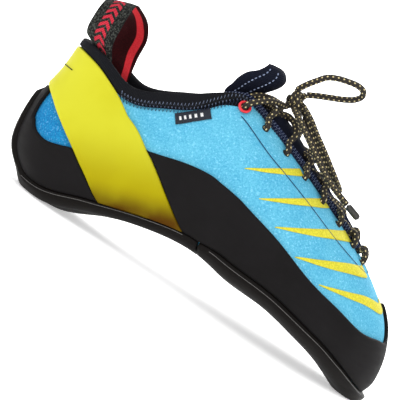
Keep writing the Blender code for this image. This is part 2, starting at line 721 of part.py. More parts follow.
def lace_bar_route(first_sign):
    """A lace from eyelet to eyelet down the throat, changing side each time."""
    points = []
    for i in range(len(EYELETS) - 1):
        sign = first_sign * (-1) ** i
        clear = LACE / 2 + LACE_CLEARANCE
        seat_clear = clear + (EYELET_RIM + FIT if i == 0 else 0)
        around, level = eyelet_place(i, sign)
        far_round, far_level = eyelet_place(i + 1, -sign)
        lip, far_lip = on_last(around, 1.0, seat_clear), on_last(far_round, 1.0, clear)
        points += [on_last(around, level, seat_clear), lip, (lip + far_lip) / 2, far_lip]
    return points + [on_last(far_round, far_level, clear)]


def lace_rise_route(sign):
    """The strand from a top eyelet up to the knot."""
    around, level = eyelet_place(0, sign)
    clear = LACE / 2 + LACE_CLEARANCE + EYELET_RIM + FIT
    seat, lip = on_last(around, level, clear), on_last(around, 1.0, 1.4 * clear)
    return [seat, lip, knot_seat(RISE_SEATS[sign])]


def make_lace_bars():
    """The crossings of the lace over the tongue and its rise to the knot, joined where they meet."""
    spacing = LACE * LACE_STEP
    routes = [route(sign) for route in (lace_bar_route, lace_rise_route) for sign in (-1, 1)]
    parts = [
        as_mesh(tube("lace_bars" + str(i), smooth_route(route, 1, spacing), LACE, MATERIALS["lace"]))
        for i, route in enumerate(routes)
    ]
    for other in parts[1:]:
        join = parts[0].modifiers.new("crossings", "BOOLEAN")
        join.operation = "UNION"
        join.object = other
    graph = bpy.context.evaluated_depsgraph_get()
    data = bpy.data.meshes.new_from_object(parts[0].evaluated_get(graph))
    for old in parts:
        bpy.data.objects.remove(old, do_unlink=True)
    finish(bpy.data.objects.new("lace_bars", data), MATERIALS["lace"])


def make_knot():
    bpy.ops.mesh.primitive_uv_sphere_add(segments=14, ring_count=8, location=np.array(KNOT) * LACE_SCALE)
    knot = bpy.context.object
    knot.name = "lace_knot"
    knot.data.transform(Matrix.Diagonal((*KNOT_RADII, 1)))
    for holder in list(knot.users_collection):
        holder.objects.unlink(knot)
    finish(knot, MATERIALS["lace"])


def knot_seat(direction):
    """Where a lace leaves the knot: its surface in that direction, and the lace's own clearance."""
    way = np.array(direction) / np.linalg.norm(direction)
    reach = 1 / np.linalg.norm(way / KNOT_RADII) + KNOT_CLEARANCE
    return np.array(KNOT) * LACE_SCALE + reach * way


def make_bow():
    """The bow's two loops, and the lace's two ends with their tips."""
    for name, rows, leave, back in LACE_PIECES:
        points = [knot_seat(leave)] + list(np.array(rows) * LACE_SCALE)
        if back:
            points.append(knot_seat(back))
        route = smooth_route(points, 1, 2.2 * LACE)
        tube(name, route, LACE, MATERIALS["lace"])
        if back:
            continue
        way = (route[-1] - route[-2]) / np.linalg.norm(route[-1] - route[-2])
        start = route[-1] + FIT * way
        tube(name.replace("lace_end", "aglet"), [start, start + AGLET_LENGTH * way], AGLET, MATERIALS["tag"])


def main():
    lines = strap_lines()
    make_upper()
    make_insole()
    make_heel_sole()
    make_front_sole()
    make_strap(lines)
    make_heel_rands(lines)
    make_front_rand(lines)
    make_cuff(lines)
    make_tongue()
    make_pull_loop()
    make_eyelets()
    make_lace_bars()
    make_knot()
    make_bow()


clear_scene()
COLLECTION = bpy.data.collections.new("climbing_shoe")
bpy.context.scene.collection.children.link(COLLECTION)
MATERIALS = {
    "upper": make_material("blue_upper", (0.10, 0.50, 0.83), 0.65),
    "rubber": make_material("sole_rubber", (0.012, 0.010, 0.009), 0.55),
    "rand": make_material("rand_rubber", (0.022, 0.020, 0.023), 0.50),
    "strap": make_material("yellow_rubber", (0.72, 0.70, 0.03), 0.45),
    "cuff": make_material("black_knit", (0.020, 0.017, 0.017), 0.90),
    "tongue": make_material("navy_tongue", (0.010, 0.012, 0.030), 0.85),
    "insole": make_material("insole_fabric", (0.05, 0.05, 0.055), 0.90),
    "webbing": make_material("loop_webbing", (0.035, 0.032, 0.032), 0.85),
    "lace": make_material("lace_cord", (0.020, 0.014, 0.006), 0.80),
    "eyelet": make_material("red_eyelet", (0.70, 0.04, 0.05), 0.35, 0.6),
    "tag": make_material("woven_tag", (0.03, 0.03, 0.035), 0.85),
}
main()
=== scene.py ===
"""The looks of the climbing shoe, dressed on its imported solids.

Metres, in the frame of the part: +X to the toe, +Y to the inner side, +Z up.
A place on the last is (round, level): round runs from -1 at the toe along the
outer side to 0 at the heel's back and along the inner side to 1 at the toe,
and level from -1 under the sole over 0 at the feather edge to 1 at the top.
"""

import math

import bmesh
import bpy
import numpy as np
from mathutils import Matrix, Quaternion, Vector


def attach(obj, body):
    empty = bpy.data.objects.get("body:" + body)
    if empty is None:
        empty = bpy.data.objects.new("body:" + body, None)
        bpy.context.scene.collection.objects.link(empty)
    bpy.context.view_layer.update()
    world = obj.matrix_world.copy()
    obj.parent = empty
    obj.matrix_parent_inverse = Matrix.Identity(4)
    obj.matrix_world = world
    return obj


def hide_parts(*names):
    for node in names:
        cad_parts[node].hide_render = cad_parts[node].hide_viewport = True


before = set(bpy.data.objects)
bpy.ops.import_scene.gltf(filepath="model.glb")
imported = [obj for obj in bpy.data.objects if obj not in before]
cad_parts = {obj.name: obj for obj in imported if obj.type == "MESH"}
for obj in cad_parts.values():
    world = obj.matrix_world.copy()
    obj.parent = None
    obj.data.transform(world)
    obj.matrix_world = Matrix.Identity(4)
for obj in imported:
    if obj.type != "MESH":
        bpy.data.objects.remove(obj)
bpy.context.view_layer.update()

# Driving sizes
LENGTH = 0.250
BALL_WIDTH = 0.092
INSTEP_HEIGHT = 0.1105
HEEL_HEIGHT = 0.0885
CAMBER = 0.023
UPPER_WALL = 0.0020
FRONT_SOLE = 0.0050
ARCH_SOLE = 0.0026
HEEL_SOLE = 0.0038
RAND_WALL = 0.0016
STRAP_WALL = 0.0020
CUFF_WALL = 0.0018
TONGUE_WALL = 0.0050
TONGUE_PADDING = 0.0075
LOOP_WALL = 0.0015
LACE = 0.0036
AGLET = 0.0042
EYELET_HOLE = 0.0046
EYELET_RIM = 0.0016
FIT = 0.0005
PANEL_FIT = 0.0007
LACE_CLEARANCE = 0.0010
KNOT_CLEARANCE = 0.0013
LOOP_CLEARANCE = 0.0008

# Share of the length over which each end of the plan is rounded off
HEEL_ROUND = 0.16
TOE_ROUND = 0.10
# Share of the length at which the top edge has reached the instep's height
INSTEP_START = 0.46
# How far a panel line's points crowd towards its ends
END_CROWDING = 0.03
# Step between two panels, as a share of a level
SEAM = 0.009

# Heights of the underside and its rim are shares of CAMBER, above the sole.
# Tops are shares of the height that runs from HEEL_HEIGHT to INSTEP_HEIGHT.
# Centre, ridge and half widths are shares of BALL_WIDTH, and low to opening
# multiply the half width.
SECTION_COLUMNS = (
    "along", "lift", "rim", "top_outer", "top_inner", "centre", "ridge",
    "outer", "inner", "low", "middle", "high", "opening",
)
SECTIONS = (
    (0.00, -0.10, 0.20, 1.000, 1.000, 0.000, 0.000, 0.293, 0.293, 1.12, 1.18, 0.98, 0.86),
    (0.08, 0.005, 0.20, 0.943, 0.955, 0.000, 0.000, 0.299, 0.299, 1.13, 1.17, 1.00, 0.86),
    (0.19, 0.46, 0.56, 0.829, 0.850, -0.011, 0.000, 0.288, 0.288, 1.12, 1.13, 0.98, 0.83),
    (0.32, 0.86, 0.98, 0.895, 0.905, -0.043, 0.000, 0.304, 0.293, 1.10, 1.05, 0.92, 0.72),
    (0.46, 1.00, 1.26, 1.000, 1.000, -0.049, 0.011, 0.359, 0.326, 1.06, 1.00, 0.84, 0.50),
    (0.58, 0.84, 1.18, 0.950, 0.955, -0.038, 0.022, 0.435, 0.402, 1.04, 0.95, 0.76, 0.36),
    (0.70, 0.79, 1.12, 0.867, 0.875, -0.038, 0.043, 0.478, 0.467, 1.04, 0.93, 0.70, 0.30),
    (0.80, 0.59, 0.90, 0.790, 0.800, -0.011, 0.065, 0.446, 0.451, 1.05, 0.94, 0.70, 0.27),
    (0.88, 0.37, 0.66, 0.728, 0.736, 0.033, 0.087, 0.370, 0.370, 1.07, 0.96, 0.72, 0.27),
    (0.95, 0.07, 0.33, 0.658, 0.662, 0.087, 0.109, 0.288, 0.288, 1.08, 0.98, 0.76, 0.30),
    (1.00, -0.18, 0.05, 0.593, 0.593, 0.141, 0.120, 0.272, 0.272, 1.08, 1.00, 0.80, 0.30),
)

# Back and front are the level's two ends, as shares of LENGTH from the origin.
# Under is its rise from underside to rim, rise from rim to top, and sway its
# share of the way from the underside's centre line to the throat's.
LEVEL_COLUMNS = ("side", "back", "front", "under", "rise", "sway")
LEVELS = (
    (0.00, -0.004, 0.828, 0.00, 0.000, 0.00),
    (0.50, -0.034, 0.842, 0.18, 0.000, 0.00),
    (1.00, -0.060, 0.853, 1.00, 0.000, 0.00),
    (1.25, -0.104, 0.862, 1.00, 0.160, 0.10),
    (1.50, -0.1136, 0.847, 1.00, 0.450, 0.35),
    (1.75, -0.0976, 0.802, 1.00, 0.745, 0.70),
    (2.00, -0.0936, 0.712, 1.00, 1.000, 1.00),
)
UNDERSIDE_BULGE = 0.56

# Panel lines as seen from the side: x in shares of LENGTH, z in shares of the
# height of the last's top, which grows between these shares of LENGTH.
TOP_BACK = -0.10
TOP_FRONT = 0.85
RAND_TOP_OUTER = (
    (0.168, 0.563), (0.240, 0.593), (0.290, 0.604), (0.345, 0.593), (0.404, 0.577),
    (0.502, 0.525), (0.620, 0.436), (0.696, 0.392), (0.771, 0.344), (0.822, 0.338),
)
RAND_TOP_INNER = (
    (0.822, 0.430), (0.780, 0.462), (0.700, 0.462), (0.600, 0.480), (0.480, 0.535),
    (0.360, 0.575), (0.260, 0.601), (0.168, 0.599),
)
RAND_TOP_TIP = 0.60
STRAP_REAR = ((-0.082, 0.595), (-0.038, 0.505), (0.006, 0.420), (0.066, 0.307), (0.136, 0.196))
STRAP_FRONT = ((-0.024, 0.883), (0.028, 0.801), (0.095, 0.681), (0.176, 0.553),
               (0.270, 0.389), (0.333, 0.300))
# The strap's two edges at the heel's back, in shares of HEEL_HEIGHT
STRAP_REAR_HEIGHT = 0.640
STRAP_FRONT_HEIGHT = 0.951
WINDOW_LOW = ((-0.091, 0.599), (-0.093, 0.481), (-0.082, 0.410), (-0.048, 0.348),
              (-0.002, 0.362), (0.017, 0.378))

# The strip of sole that climbs the heel's back: its edge level by round.
TAIL_EDGE = ((0.000, 0.59), (0.030, 0.58), (0.045, 0.52), (0.060, 0.34),
             (0.068, 0.24), (0.077, 0.14), (0.095, 0.03), (0.120, 0.00))
# Round at which the rubber beside the tail starts
HEEL_RAND_START = 0.036
# The two soles meet under the waist, at these shares of the length.
HEEL_SOLE_END = 0.478
FRONT_SOLE_START = 0.482
FRONT_SOLE_BEVEL = 0.060

CUFF_LEVEL = 0.90
CUFF_END = 0.455

# Eyelets along the throat, as shares of the length, and their level.
EYELETS = (0.470, 0.548, 0.630, 0.706, 0.780, 0.850, 0.912, 0.958)
EYELET_LEVEL = 0.945

# The tongue's free top. Front and height place its middle, half is its half
# width, sweep how far its edges run back and drop how far they fall.
TONGUE_TOP = (
    (0.282, 0.970, 0.110, 0.040, 0.015),
    (0.302, 1.050, 0.130, 0.062, 0.018),
    (0.330, 1.130, 0.165, 0.078, 0.025),
    (0.336, 1.178, 0.170, 0.066, 0.025),
    (0.326, 1.212, 0.145, 0.046, 0.020),
    (0.309, 1.232, 0.105, 0.024, 0.012),
)
TONGUE_THROAT = (0.965, 0.91, 0.85, 0.79, 0.73, 0.67, 0.61, 0.55)
TONGUE_TUCK = (0.80, 0.80, 0.80, 0.80, 0.80, 0.82, 0.88, 0.96)
TONGUE_CURVE = 2.2
TONGUE_LEAN = 0.02
TONGUE_TAPER = 0.60

# The pull loop is sewn inside the collar: rounds of its rear and front edges,
# and the levels it runs between. Above the collar each row has the rear
# edge's x, y and z and then the front edge's, x in shares of LENGTH, y of
# BALL_WIDTH and z of HEEL_HEIGHT.
LOOP_ROUNDS = {-1: (0.10, 0.21), 1: (0.14, 0.25)}
LOOP_LEVELS = (0.84, 0.92, 1.0)
LOOP_TOP = (
    (-0.097, -0.163, 1.062, -0.028, -0.206, 1.073),
    (-0.102, -0.185, 1.175, -0.032, -0.228, 1.198),
    (-0.102, -0.152, 1.266, -0.034, -0.196, 1.322),
    (-0.101, -0.098, 1.299, -0.034, -0.130, 1.367),
    (-0.088, 0.000, 1.299, -0.020, -0.033, 1.350),
    (-0.068, 0.120, 1.266, 0.000, 0.098, 1.294),
    (-0.058, 0.196, 1.175, 0.013, 0.190, 1.198),
    (-0.056, 0.206, 1.073, 0.015, 0.228, 1.073),
)

# Lace routes, in shares of LENGTH, BALL_WIDTH and INSTEP_HEIGHT. Each leaves
# the knot in its own direction.
KNOT = (0.378, 0.010, 1.128)
KNOT_RADII = (0.0060, 0.0070, 0.0055)
UPPER_LOOP = (
    (0.377, -0.044, 1.218), (0.396, -0.060, 1.277), (0.409, -0.070, 1.312),
    (0.430, -0.078, 1.338), (0.454, -0.076, 1.354), (0.478, -0.060, 1.363),
    (0.493, -0.034, 1.356), (0.498, -0.004, 1.330), (0.488, 0.020, 1.296),
    (0.468, 0.032, 1.267), (0.440, 0.034, 1.237), (0.412, 0.030, 1.208),
)
LOWER_LOOP = (
    (0.430, -0.086, 1.092), (0.462, -0.100, 1.042), (0.496, -0.104, 0.992),
    (0.524, -0.100, 0.948), (0.550, -0.086, 0.906), (0.566, -0.052, 0.878),
    (0.570, -0.012, 0.866), (0.560, 0.028, 0.872), (0.534, 0.056, 0.900),
    (0.500, 0.062, 0.944), (0.464, 0.058, 0.998), (0.432, 0.048, 1.050),
)
OUTER_END = (
    (0.412, -0.150, 1.060), (0.450, -0.170, 1.008), (0.490, -0.172, 0.950),
    (0.530, -0.158, 0.896), (0.566, -0.138, 0.860), (0.602, -0.120, 0.832),
)
INNER_END = (
    (0.392, 0.200, 1.090), (0.408, 0.290, 1.020), (0.428, 0.355, 0.930),
    (0.444, 0.400, 0.835), (0.456, 0.430, 0.745),
)
LACE_PIECES = (
    ("lace_loop_upper", UPPER_LOOP, (-0.35, -0.35, 0.85), (0.45, 0.20, 0.85)),
    ("lace_loop_lower", LOWER_LOOP, (0.75, -0.65, -0.05), (0.85, 0.45, -0.25)),
    ("lace_end_outer", OUTER_END, (0.25, -0.80, -0.55), None),
    ("lace_end_inner", INNER_END, (0.10, 0.95, 0.10), None),
)
AGLET_LENGTH = 0.010
# Where the two strands from the top eyelets end under the knot
RISE_SEATS = {-1: (-0.45, -0.35, -0.82), 1: (-0.45, 0.35, -0.82)}


def table(columns, rows):
    values = np.array(rows, float)
    return {name: values[:, i] for i, name in enumerate(columns)}


SECTION = table(SECTION_COLUMNS, SECTIONS)
LEVEL = table(LEVEL_COLUMNS, LEVELS)


def spline(knots, values, at):
    """A smooth curve through values at the knots. Values may differ for each place read."""
    knots = np.asarray(knots, float)
    values = np.asarray(values, float)
    at = np.clip(np.asarray(at, float), knots[0], knots[-1])
    steps = np.diff(knots)
    slopes = np.diff(values, axis=-2) / steps[:, None]
    inner = (steps[1:, None] * slopes[..., :-1, :] + steps[:-1, None] * slopes[..., 1:, :])
    inner = inner / (steps[1:, None] + steps[:-1, None])
    tangents = np.concatenate([slopes[..., :1, :], inner, slopes[..., -1:, :]], axis=-2)
    low = np.clip(np.searchsorted(knots, at, side="right") - 1, 0, len(knots) - 2)
    step = steps[low][:, None]
    t = ((at - knots[low]) / steps[low])[:, None]
    if values.ndim == 2:
        first, last, leave, reach = values[low], values[low + 1], tangents[low], tangents[low + 1]
    else:
        each = np.arange(len(at))
        first, last = values[each, low], values[each, low + 1]
        leave, reach = tangents[each, low], tangents[each, low + 1]
    return (
        (1 + 2 * t) * (1 - t) ** 2 * first
        + t * (1 - t) ** 2 * step * leave
        + t * t * (3 - 2 * t) * last
        + t * t * (t - 1) * step * reach
    )


def lengths_along(points):
    """The length along a path at each of its points."""
    return np.concatenate([[0], np.cumsum(np.linalg.norm(np.diff(points, axis=0), axis=1))])


def unit(vectors):
    """Vectors of length one in the same directions."""
    return vectors / np.linalg.norm(vectors, axis=-1, keepdims=True)


def turns(count):
    """Even angles round a full turn."""
    return np.linspace(0, 2 * math.pi, count, endpoint=False)


def read(column, along):
    return spline(SECTION["along"], SECTION[column][:, None], along)[:, 0]


def sole_wall(along):
    """The sole's thickness on its way from heel over waist to ball."""
    knots = (0.0, 0.15, 0.30, HEEL_SOLE_END, FRONT_SOLE_START + FRONT_SOLE_BEVEL, 1.0)
    walls = (HEEL_SOLE, HEEL_SOLE, (HEEL_SOLE + ARCH_SOLE) / 2, ARCH_SOLE, FRONT_SOLE, FRONT_SOLE)
    return np.interp(along, knots, walls)


def roundness(along):
    """How wide the plan is near its two ends, as a share of the full width."""
    heel = np.clip(1 - along / HEEL_ROUND, 0, 1)
    toe = np.clip(1 - (1 - along) / TOE_ROUND, 0, 1)
    return np.sqrt(np.maximum(0, 1 - heel**2) * np.maximum(0, 1 - toe**2))


def top_height(along):
    """Height of the last's top edge at a share of its length, before each side's own share."""
    grown = np.clip(along / INSTEP_START, 0, 1)
    return HEEL_HEIGHT + (INSTEP_HEIGHT - HEEL_HEIGHT) * grown


def sections(along):
    """The points that each cross-section of the last runs through, outer top to inner top."""
    seat = PANEL_FIT + sole_wall(along)
    spine = seat + CAMBER * read("lift", along)
    rim = seat + CAMBER * read("rim", along)
    height = top_height(along)
    round_off = roundness(along)
    ones = np.ones_like(along)
    spread = (0 * ones, UNDERSIDE_BULGE * ones, ones, read("low", along),
              read("middle", along), read("high", along), read("opening", along))
    halves = {}
    for sign, name in ((-1, "outer"), (1, "inner")):
        top = height * read("top_" + name, along)
        half = BALL_WIDTH * read(name, along) * round_off
        points = []
        for i in range(len(LEVELS)):
            back, front = LEVEL["back"][i], LEVEL["front"][i]
            x = LENGTH * (back + (front - back) * along)
            sway = LEVEL["sway"][i]
            centre = BALL_WIDTH * ((1 - sway) * read("centre", along) + sway * read("ridge", along))
            y = centre + sign * half * spread[i]
            z = spine + LEVEL["under"][i] * (rim - spine) + LEVEL["rise"][i] * (top - rim)
            points.append(np.stack([x, y, z], axis=-1))
        halves[name] = points
    return np.stack(halves["outer"][:0:-1] + halves["inner"], axis=1)


SIDE_KNOTS = np.concatenate([-LEVEL["side"][:0:-1], LEVEL["side"]])


def surface(along, side):
    return spline(SIDE_KNOTS, sections(along), side)


def place(around, level):
    """Station and side of a place on the last."""
    around = (np.asarray(around, float) + 1) % 2 - 1
    level = np.asarray(level, float)
    along = (1 - np.cos(math.pi * np.abs(around))) / 2
    return along, np.where(around < 0, -1.0, 1.0) * (level + 1)


STEP = 1e-3
NEAR_SPINE = 0.02


def on_last(around, level, away=0.0):
    """Points on the last, or away from it along its outward normal."""
    around, level = np.broadcast_arrays(np.asarray(around, float), np.asarray(level, float))
    shape = around.shape
    around, level = around.ravel(), level.ravel()
    points = surface(*place(around, level))
    at_end = np.abs(np.sin(math.pi * around)) < STEP
    steady = np.where(at_end, np.maximum(level, NEAR_SPINE - 1), level)
    along, side = place(around, steady)
    outward = np.sign(side + (side == 0))[:, None]
    up = (surface(along, side + STEP) - surface(along, side - STEP)) * outward
    way = surface(*place(around + STEP, steady)) - surface(*place(around - STEP, steady))
    normal = unit(np.cross(up, way))
    away = np.broadcast_to(np.asarray(away, float), shape).ravel()[:, None]
    return (points + away * normal).reshape(shape + (3,))


def seen_at(x, z, sign):
    """The place on the last that shows at x and z from the side."""
    around, level = np.meshgrid(np.linspace(0.004, 0.996, 140), np.linspace(-0.1, 1, 70))
    grid = on_last(sign * around, level)
    best = np.argmin((grid[..., 0] - x) ** 2 + (grid[..., 2] - z) ** 2)
    found = np.array([around.ravel()[best], level.ravel()[best]])
    for _ in range(8):
        trial = np.array([found, found + (STEP, 0), found + (0, STEP)])
        read_at = surface(*place(sign * trial[:, 0], trial[:, 1]))[:, [0, 2]]
        slope = (read_at[1:] - read_at[0]).T / STEP
        found = found + np.clip(np.linalg.lstsq(slope, (x, z) - read_at[0], rcond=None)[0], -0.05, 0.05)
        found = np.clip(found, (0.0, -0.2), (1.0, 1.0))
    return sign * found[0], found[1]


def seen_line(rows, sign):
    heights = [top_height((x - TOP_BACK) / (TOP_FRONT - TOP_BACK)) for x, _ in rows]
    return [seen_at(LENGTH * x, height * z, sign) for (x, z), height in zip(rows, heights)]


def heel_level(height):
    """The level of a height at the middle of the heel's back."""
    levels = np.linspace(-0.2, 1, 240)
    return float(np.interp(height, on_last(np.zeros(240), levels)[:, 2], levels))


def line_through(places, count):
    """Places on a smooth line through the given ones, closer together towards its ends."""
    places = np.array(places, float)
    travel = lengths_along(places)
    even = np.linspace(0, 1, count)
    return spline(travel, places, travel[-1] * (even - END_CROWDING * np.sin(2 * math.pi * even)))


def line_by_round(places, around):
    """The level of a panel line at each round."""
    places = np.array(sorted(places), float)
    return spline(places[:, 0], places[:, 1:], np.asarray(around, float))[:, 0]


# The photograph's angle to the shoe, from a little in front and above
CAMERA_YAW = math.radians(4)
CAMERA_RISE = math.radians(5)
CAMERA_ROLL = math.radians(32.9)
CAMERA_AWAY = 1.30
SENSOR = 36
VIEW_WIDTH = 0.2262
VIEW_CENTRE = Vector((0.0795, 0.0, 0.0482))

# Place, what it is aimed at, size and power of each light
LIT_CENTRE = (0.09, 0.0, 0.05)
LIGHTS = {
    "key": ((-0.5, -1.1, 1.3), LIT_CENTRE, 0.9, 9),
    "front": ((0.9, -1.2, 0.7), LIT_CENTRE, 1.0, 4),
    "rim": ((0.2, 1.2, 1.1), LIT_CENTRE, 0.8, 6),
    "backdrop": ((0.0, 1.2, 2.4), (0.0, 3.6, 1.0), 2.5, 140),
}
WORLD_STRENGTH = 0.85

# The upper's skin: its levels, its slight unevenness as a height with waves
# per metre, and the line in x and z below which the heel's window is darker.
SKIN_LEVELS = np.concatenate([np.linspace(-0.30, 0.10, 9), np.linspace(0.13, 0.99, 36)])
SKIN_ROUNDS = 320
SKIN_WAVE = 0.00018
SKIN_WAVES = (190, 120, 230)
WINDOW_SHADE = np.array(((-0.05, 0.072), (0.0, 0.050), (0.05, 0.015)))

# Rubber panels: the radius of their edges, and the round by which the
# rubber's edge meets the strap before the heel's window.
PANEL_EDGE = 0.0012
STRAP_STEPS = 161
RAND_STEPS = 300
WINDOW_LEAD = 0.010
RUBBER_GAP = 0.1 * SEAM
RUBBER_FOOT = 0.4 * SEAM
# Points across a sole, crowded towards its rim, the share of a level over
# which the rim is rounded, and the share of the wall there.
SOLE_POINTS = 61
SOLE_CROWDING = 0.9
SOLE_RIM = 0.035
SOLE_RIM_WALL = 0.35

# The cuff fades out past its solid's end. Its outside goes by share of its
# height and its inside by level, each with a share of its wall.
CUFF_TAIL = CUFF_END + 0.035
CUFF_FADE = 0.10
CUFF_STEPS = 260
CUFF_TOP = 0.985
CUFF_FOLD = 0.0016
CUFF_LINING = 0.0012
CUFF_OUTSIDE = ((0.0, 0.2), (0.02, 0.75), (0.06, 0.95), (0.3, 1.0), (0.6, 1.0), (0.85, 0.98), (1.0, 0.90))
CUFF_INSIDE = ((0.99, 1.0), (0.95, 1.0), (0.91, 0.9), (0.88, 0.6))

# Away from the throat's line as seen from the side
THROAT_UP = np.array((0.34, 0.0, 0.94))
# Section of the throat's knit edge, as distances off the last and along THROAT_UP
BINDING_SECTION = (
    (-0.0008, -0.002), (-0.0003, 0.0002), (-0.0002, 0.0020), (-0.0006, 0.0038),
    (-0.0014, 0.0046), (-0.0024, 0.0044), (-0.0028, 0.0026), (-0.0024, -0.002),
)
BINDING_ROUNDS = (CUFF_END - 0.015, 0.87)

# How high the tongue arches between the throat's edges, and its share in front
TONGUE_CROWN = 0.0085
FRONT_CROWN = 0.2
TONGUE_ARCH = np.array((0.2, 0.85, 1, 0.85, 0.2))
TONGUE_ROWS = 110
TONGUE_COLUMNS = 49

# The pull loop's mesh, and where the painted lit strip lies on its back, as a
# length round its section.
LOOP_STEPS = 150
LOOP_POINTS = 13
PAINTED_LIT_STRIP = (0.0205, 0.0255)

# The lace: its mesh, its share of its own clearance at an eyelet, its rises
# over the throat's near edge and far edge and between them, and how far the
# top crossings are pulled to the knot, by eyelet and first side.
LACE_SCALE = np.array((LENGTH, BALL_WIDTH, INSTEP_HEIGHT))
LACE_STEP = 0.0011
LACE_SIDES = 14
SEAT_SHARE = 0.6
LIP_RISE = 0.0008
BROW_RISE = 0.0050
FAR_BROW_RISE = 0.0036
MIDDLE_RISES = (0.0044, 0.0012)
TOP_STRAND_RISE = 0.0040
KNOT_PULL = {(1, 1): 0.26, (1, -1): 0.04, (2, 1): 0.40, (2, -1): 0.22}
# Tilt, shift along X and size of each turn of lace round the knot
KNOT_WRAPS = ((0.15, -0.0016, 0.80), (-0.35, 0.0016, 0.84))
KNOT_CORE = 0.0048

# Dark discs of painted shade stand for the eyelets' holes, this far out, this deep.
HOLE_LIFT = 0.00012
HOLE_DEPTH = 0.0006
HOLE_SIDES = 24

# Threads and print
THREAD = 0.0005
PALE_THREAD = 0.00026
NAVY_THREAD = 0.00032
BINDING_THREAD = 0.00022
ZIGZAG_PITCH = 0.0020
THROAT_PITCH = 0.0017
BINDING_PITCH = 0.0018
STITCH_PITCH = 0.0024
STITCH_LENGTH = 0.0013
PRINT_LIFT = 0.00030
SEAM_HALF = 0.00028
SEAM_LIFT = 0.00036
SLIT_HALF = 0.00030
TAG_LIFT = 0.0006
TAG_MARK_LIFT = 0.0008
# Rows of the tongue's mesh with stitches, and the columns that they follow
TONGUE_STITCH_ROWS = slice(70, 106)
TONGUE_STITCH_COLUMNS = (4, 10, -11, -5)

# Lines seen from the side, as for the panels: tip x and z, base x and z of
# each printed bar with its width, the seam beside the eyelets, the slit at
# the strap's rear, and the tag.
BARS = (
    (0.372, 0.716, 0.479, 0.844, 0.0050),
    (0.436, 0.632, 0.562, 0.783, 0.0064),
    (0.500, 0.560, 0.644, 0.706, 0.0074),
    (0.572, 0.492, 0.716, 0.600, 0.0076),
    (0.648, 0.440, 0.782, 0.494, 0.0068),
)
SEAM_LINE = ((0.300, 0.935), (0.381, 0.852), (0.520, 0.748), (0.656, 0.636), (0.722, 0.582))
SLIT_LINE = ((-0.097, 0.800), (-0.068, 0.790))
TAG_LINE = ((0.181, 0.784), (0.211, 0.835), (0.241, 0.886))
TAG_HALF = 0.0033
# The painted highlight line on each sole's edge: its rounds, and its level
GLEAM_ROUNDS = {"heel": (0.10, 0.46), "front": (0.51, 0.93)}
GLEAM_LEVEL = -0.006
GLEAM_STEPS = 120
GLEAM_HALF = 0.00016


def add_mesh(name, vertices, faces, materials, uvs=None, slots=None):
    """A mesh object with smooth faces. uvs holds one pair for each vertex."""
    data = bpy.data.meshes.new(name)
    data.from_pydata(np.asarray(vertices, float).tolist(), [], faces)
    for material in materials:
        data.materials.append(material)
    if uvs is not None:
        layer = data.uv_layers.new(name="metres")
        corner = np.empty(len(data.loops), np.int32)
        data.loops.foreach_get("vertex_index", corner)
        layer.data.foreach_set("uv", np.asarray(uvs, float)[corner].ravel())
    if slots is not None:
        data.polygons.foreach_set("material_index", np.asarray(slots, np.int32))
    data.polygons.foreach_set("use_smooth", [True] * len(data.polygons))
    data.validate()
    obj = bpy.data.objects.new(name, data)
    bpy.context.scene.collection.objects.link(obj)
    return obj


def grid_uvs(grid):
    """Lengths along and across a grid, in metres."""
    along = np.linalg.norm(np.diff(grid[:, grid.shape[1] // 2], axis=0), axis=1)
    across = np.linalg.norm(np.diff(grid, axis=1), axis=2)
    u = np.concatenate([[0], np.cumsum(along)])[:, None] + np.zeros(grid.shape[:2])
    v = np.concatenate([np.zeros((len(grid), 1)), np.cumsum(across, axis=1)], axis=1)
    return np.stack([u, v], axis=-1).reshape(-1, 2)


def grid_faces(rows, columns, ring=False, loop=False):
    """Quads of a grid. A ring joins its last row to its first, and a loop its columns."""
    faces = []
    for i in range(rows if ring else rows - 1):
        k = (i + 1) % rows
        for j in range(columns if loop else columns - 1):
            m = (j + 1) % columns
            faces.append((i * columns + j, k * columns + j, k * columns + m, i * columns + m))
    return faces


def swept(name, profiles, materials, ring=False, slots=None):
    """A solid swept from closed profiles, one a row, with its ends closed."""
    rows, columns = profiles.shape[:2]
    faces = grid_faces(rows, columns, ring, loop=True)
    if slots is not None:
        slots = list(np.tile(slots, rows if ring else rows - 1))
    if not ring:
        faces += [tuple(range(columns)), tuple((rows - 1) * columns + j for j in range(columns))[::-1]]
        if slots is not None:
            slots += [0, 0]
    obj = add_mesh(name, profiles.reshape(-1, 3), faces, materials, grid_uvs(profiles), slots)
    outward(obj)
    return obj


def outward(obj):
    work = bmesh.new()
    work.from_mesh(obj.data)
    bmesh.ops.recalc_face_normals(work, faces=work.faces)
    work.to_mesh(obj.data)
    work.free()


def joined(name, objects):
    """Several mesh objects as one piece."""
    vertices, faces, uvs, slots, materials = [], [], [], [], []
    start = 0
    for obj in objects:
        data = obj.data
        layer = data.uv_layers.active.data if data.uv_layers else None
        pairs = np.zeros((len(data.vertices), 2))
        for material in data.materials:
            if material not in materials:
                materials.append(material)
        for face in data.polygons:
            faces.append(tuple(start + v for v in face.vertices))
            slots.append(materials.index(data.materials[face.material_index]))
            if layer:
                for loop, vertex in zip(face.loop_indices, face.vertices):
                    pairs[vertex] = layer[loop].uv
        vertices += [v.co[:] for v in data.vertices]
        uvs.append(pairs)
        start += len(data.vertices)
        bpy.data.objects.remove(obj, do_unlink=True)
    return add_mesh(name, vertices, faces, materials, np.concatenate(uvs), slots)


def frames_along(points):
    """Two unit vectors across a path at each of its points, turning as little as they can."""
    ways = unit(np.gradient(points, axis=0))
    side = np.cross(ways[0], (0.13, 0.21, 0.97))
    sides = []
    for way in ways:
        side = unit(side - way * np.dot(side, way))
        sides.append(side)
    sides = np.array(sides)
    return sides, np.cross(ways, sides)


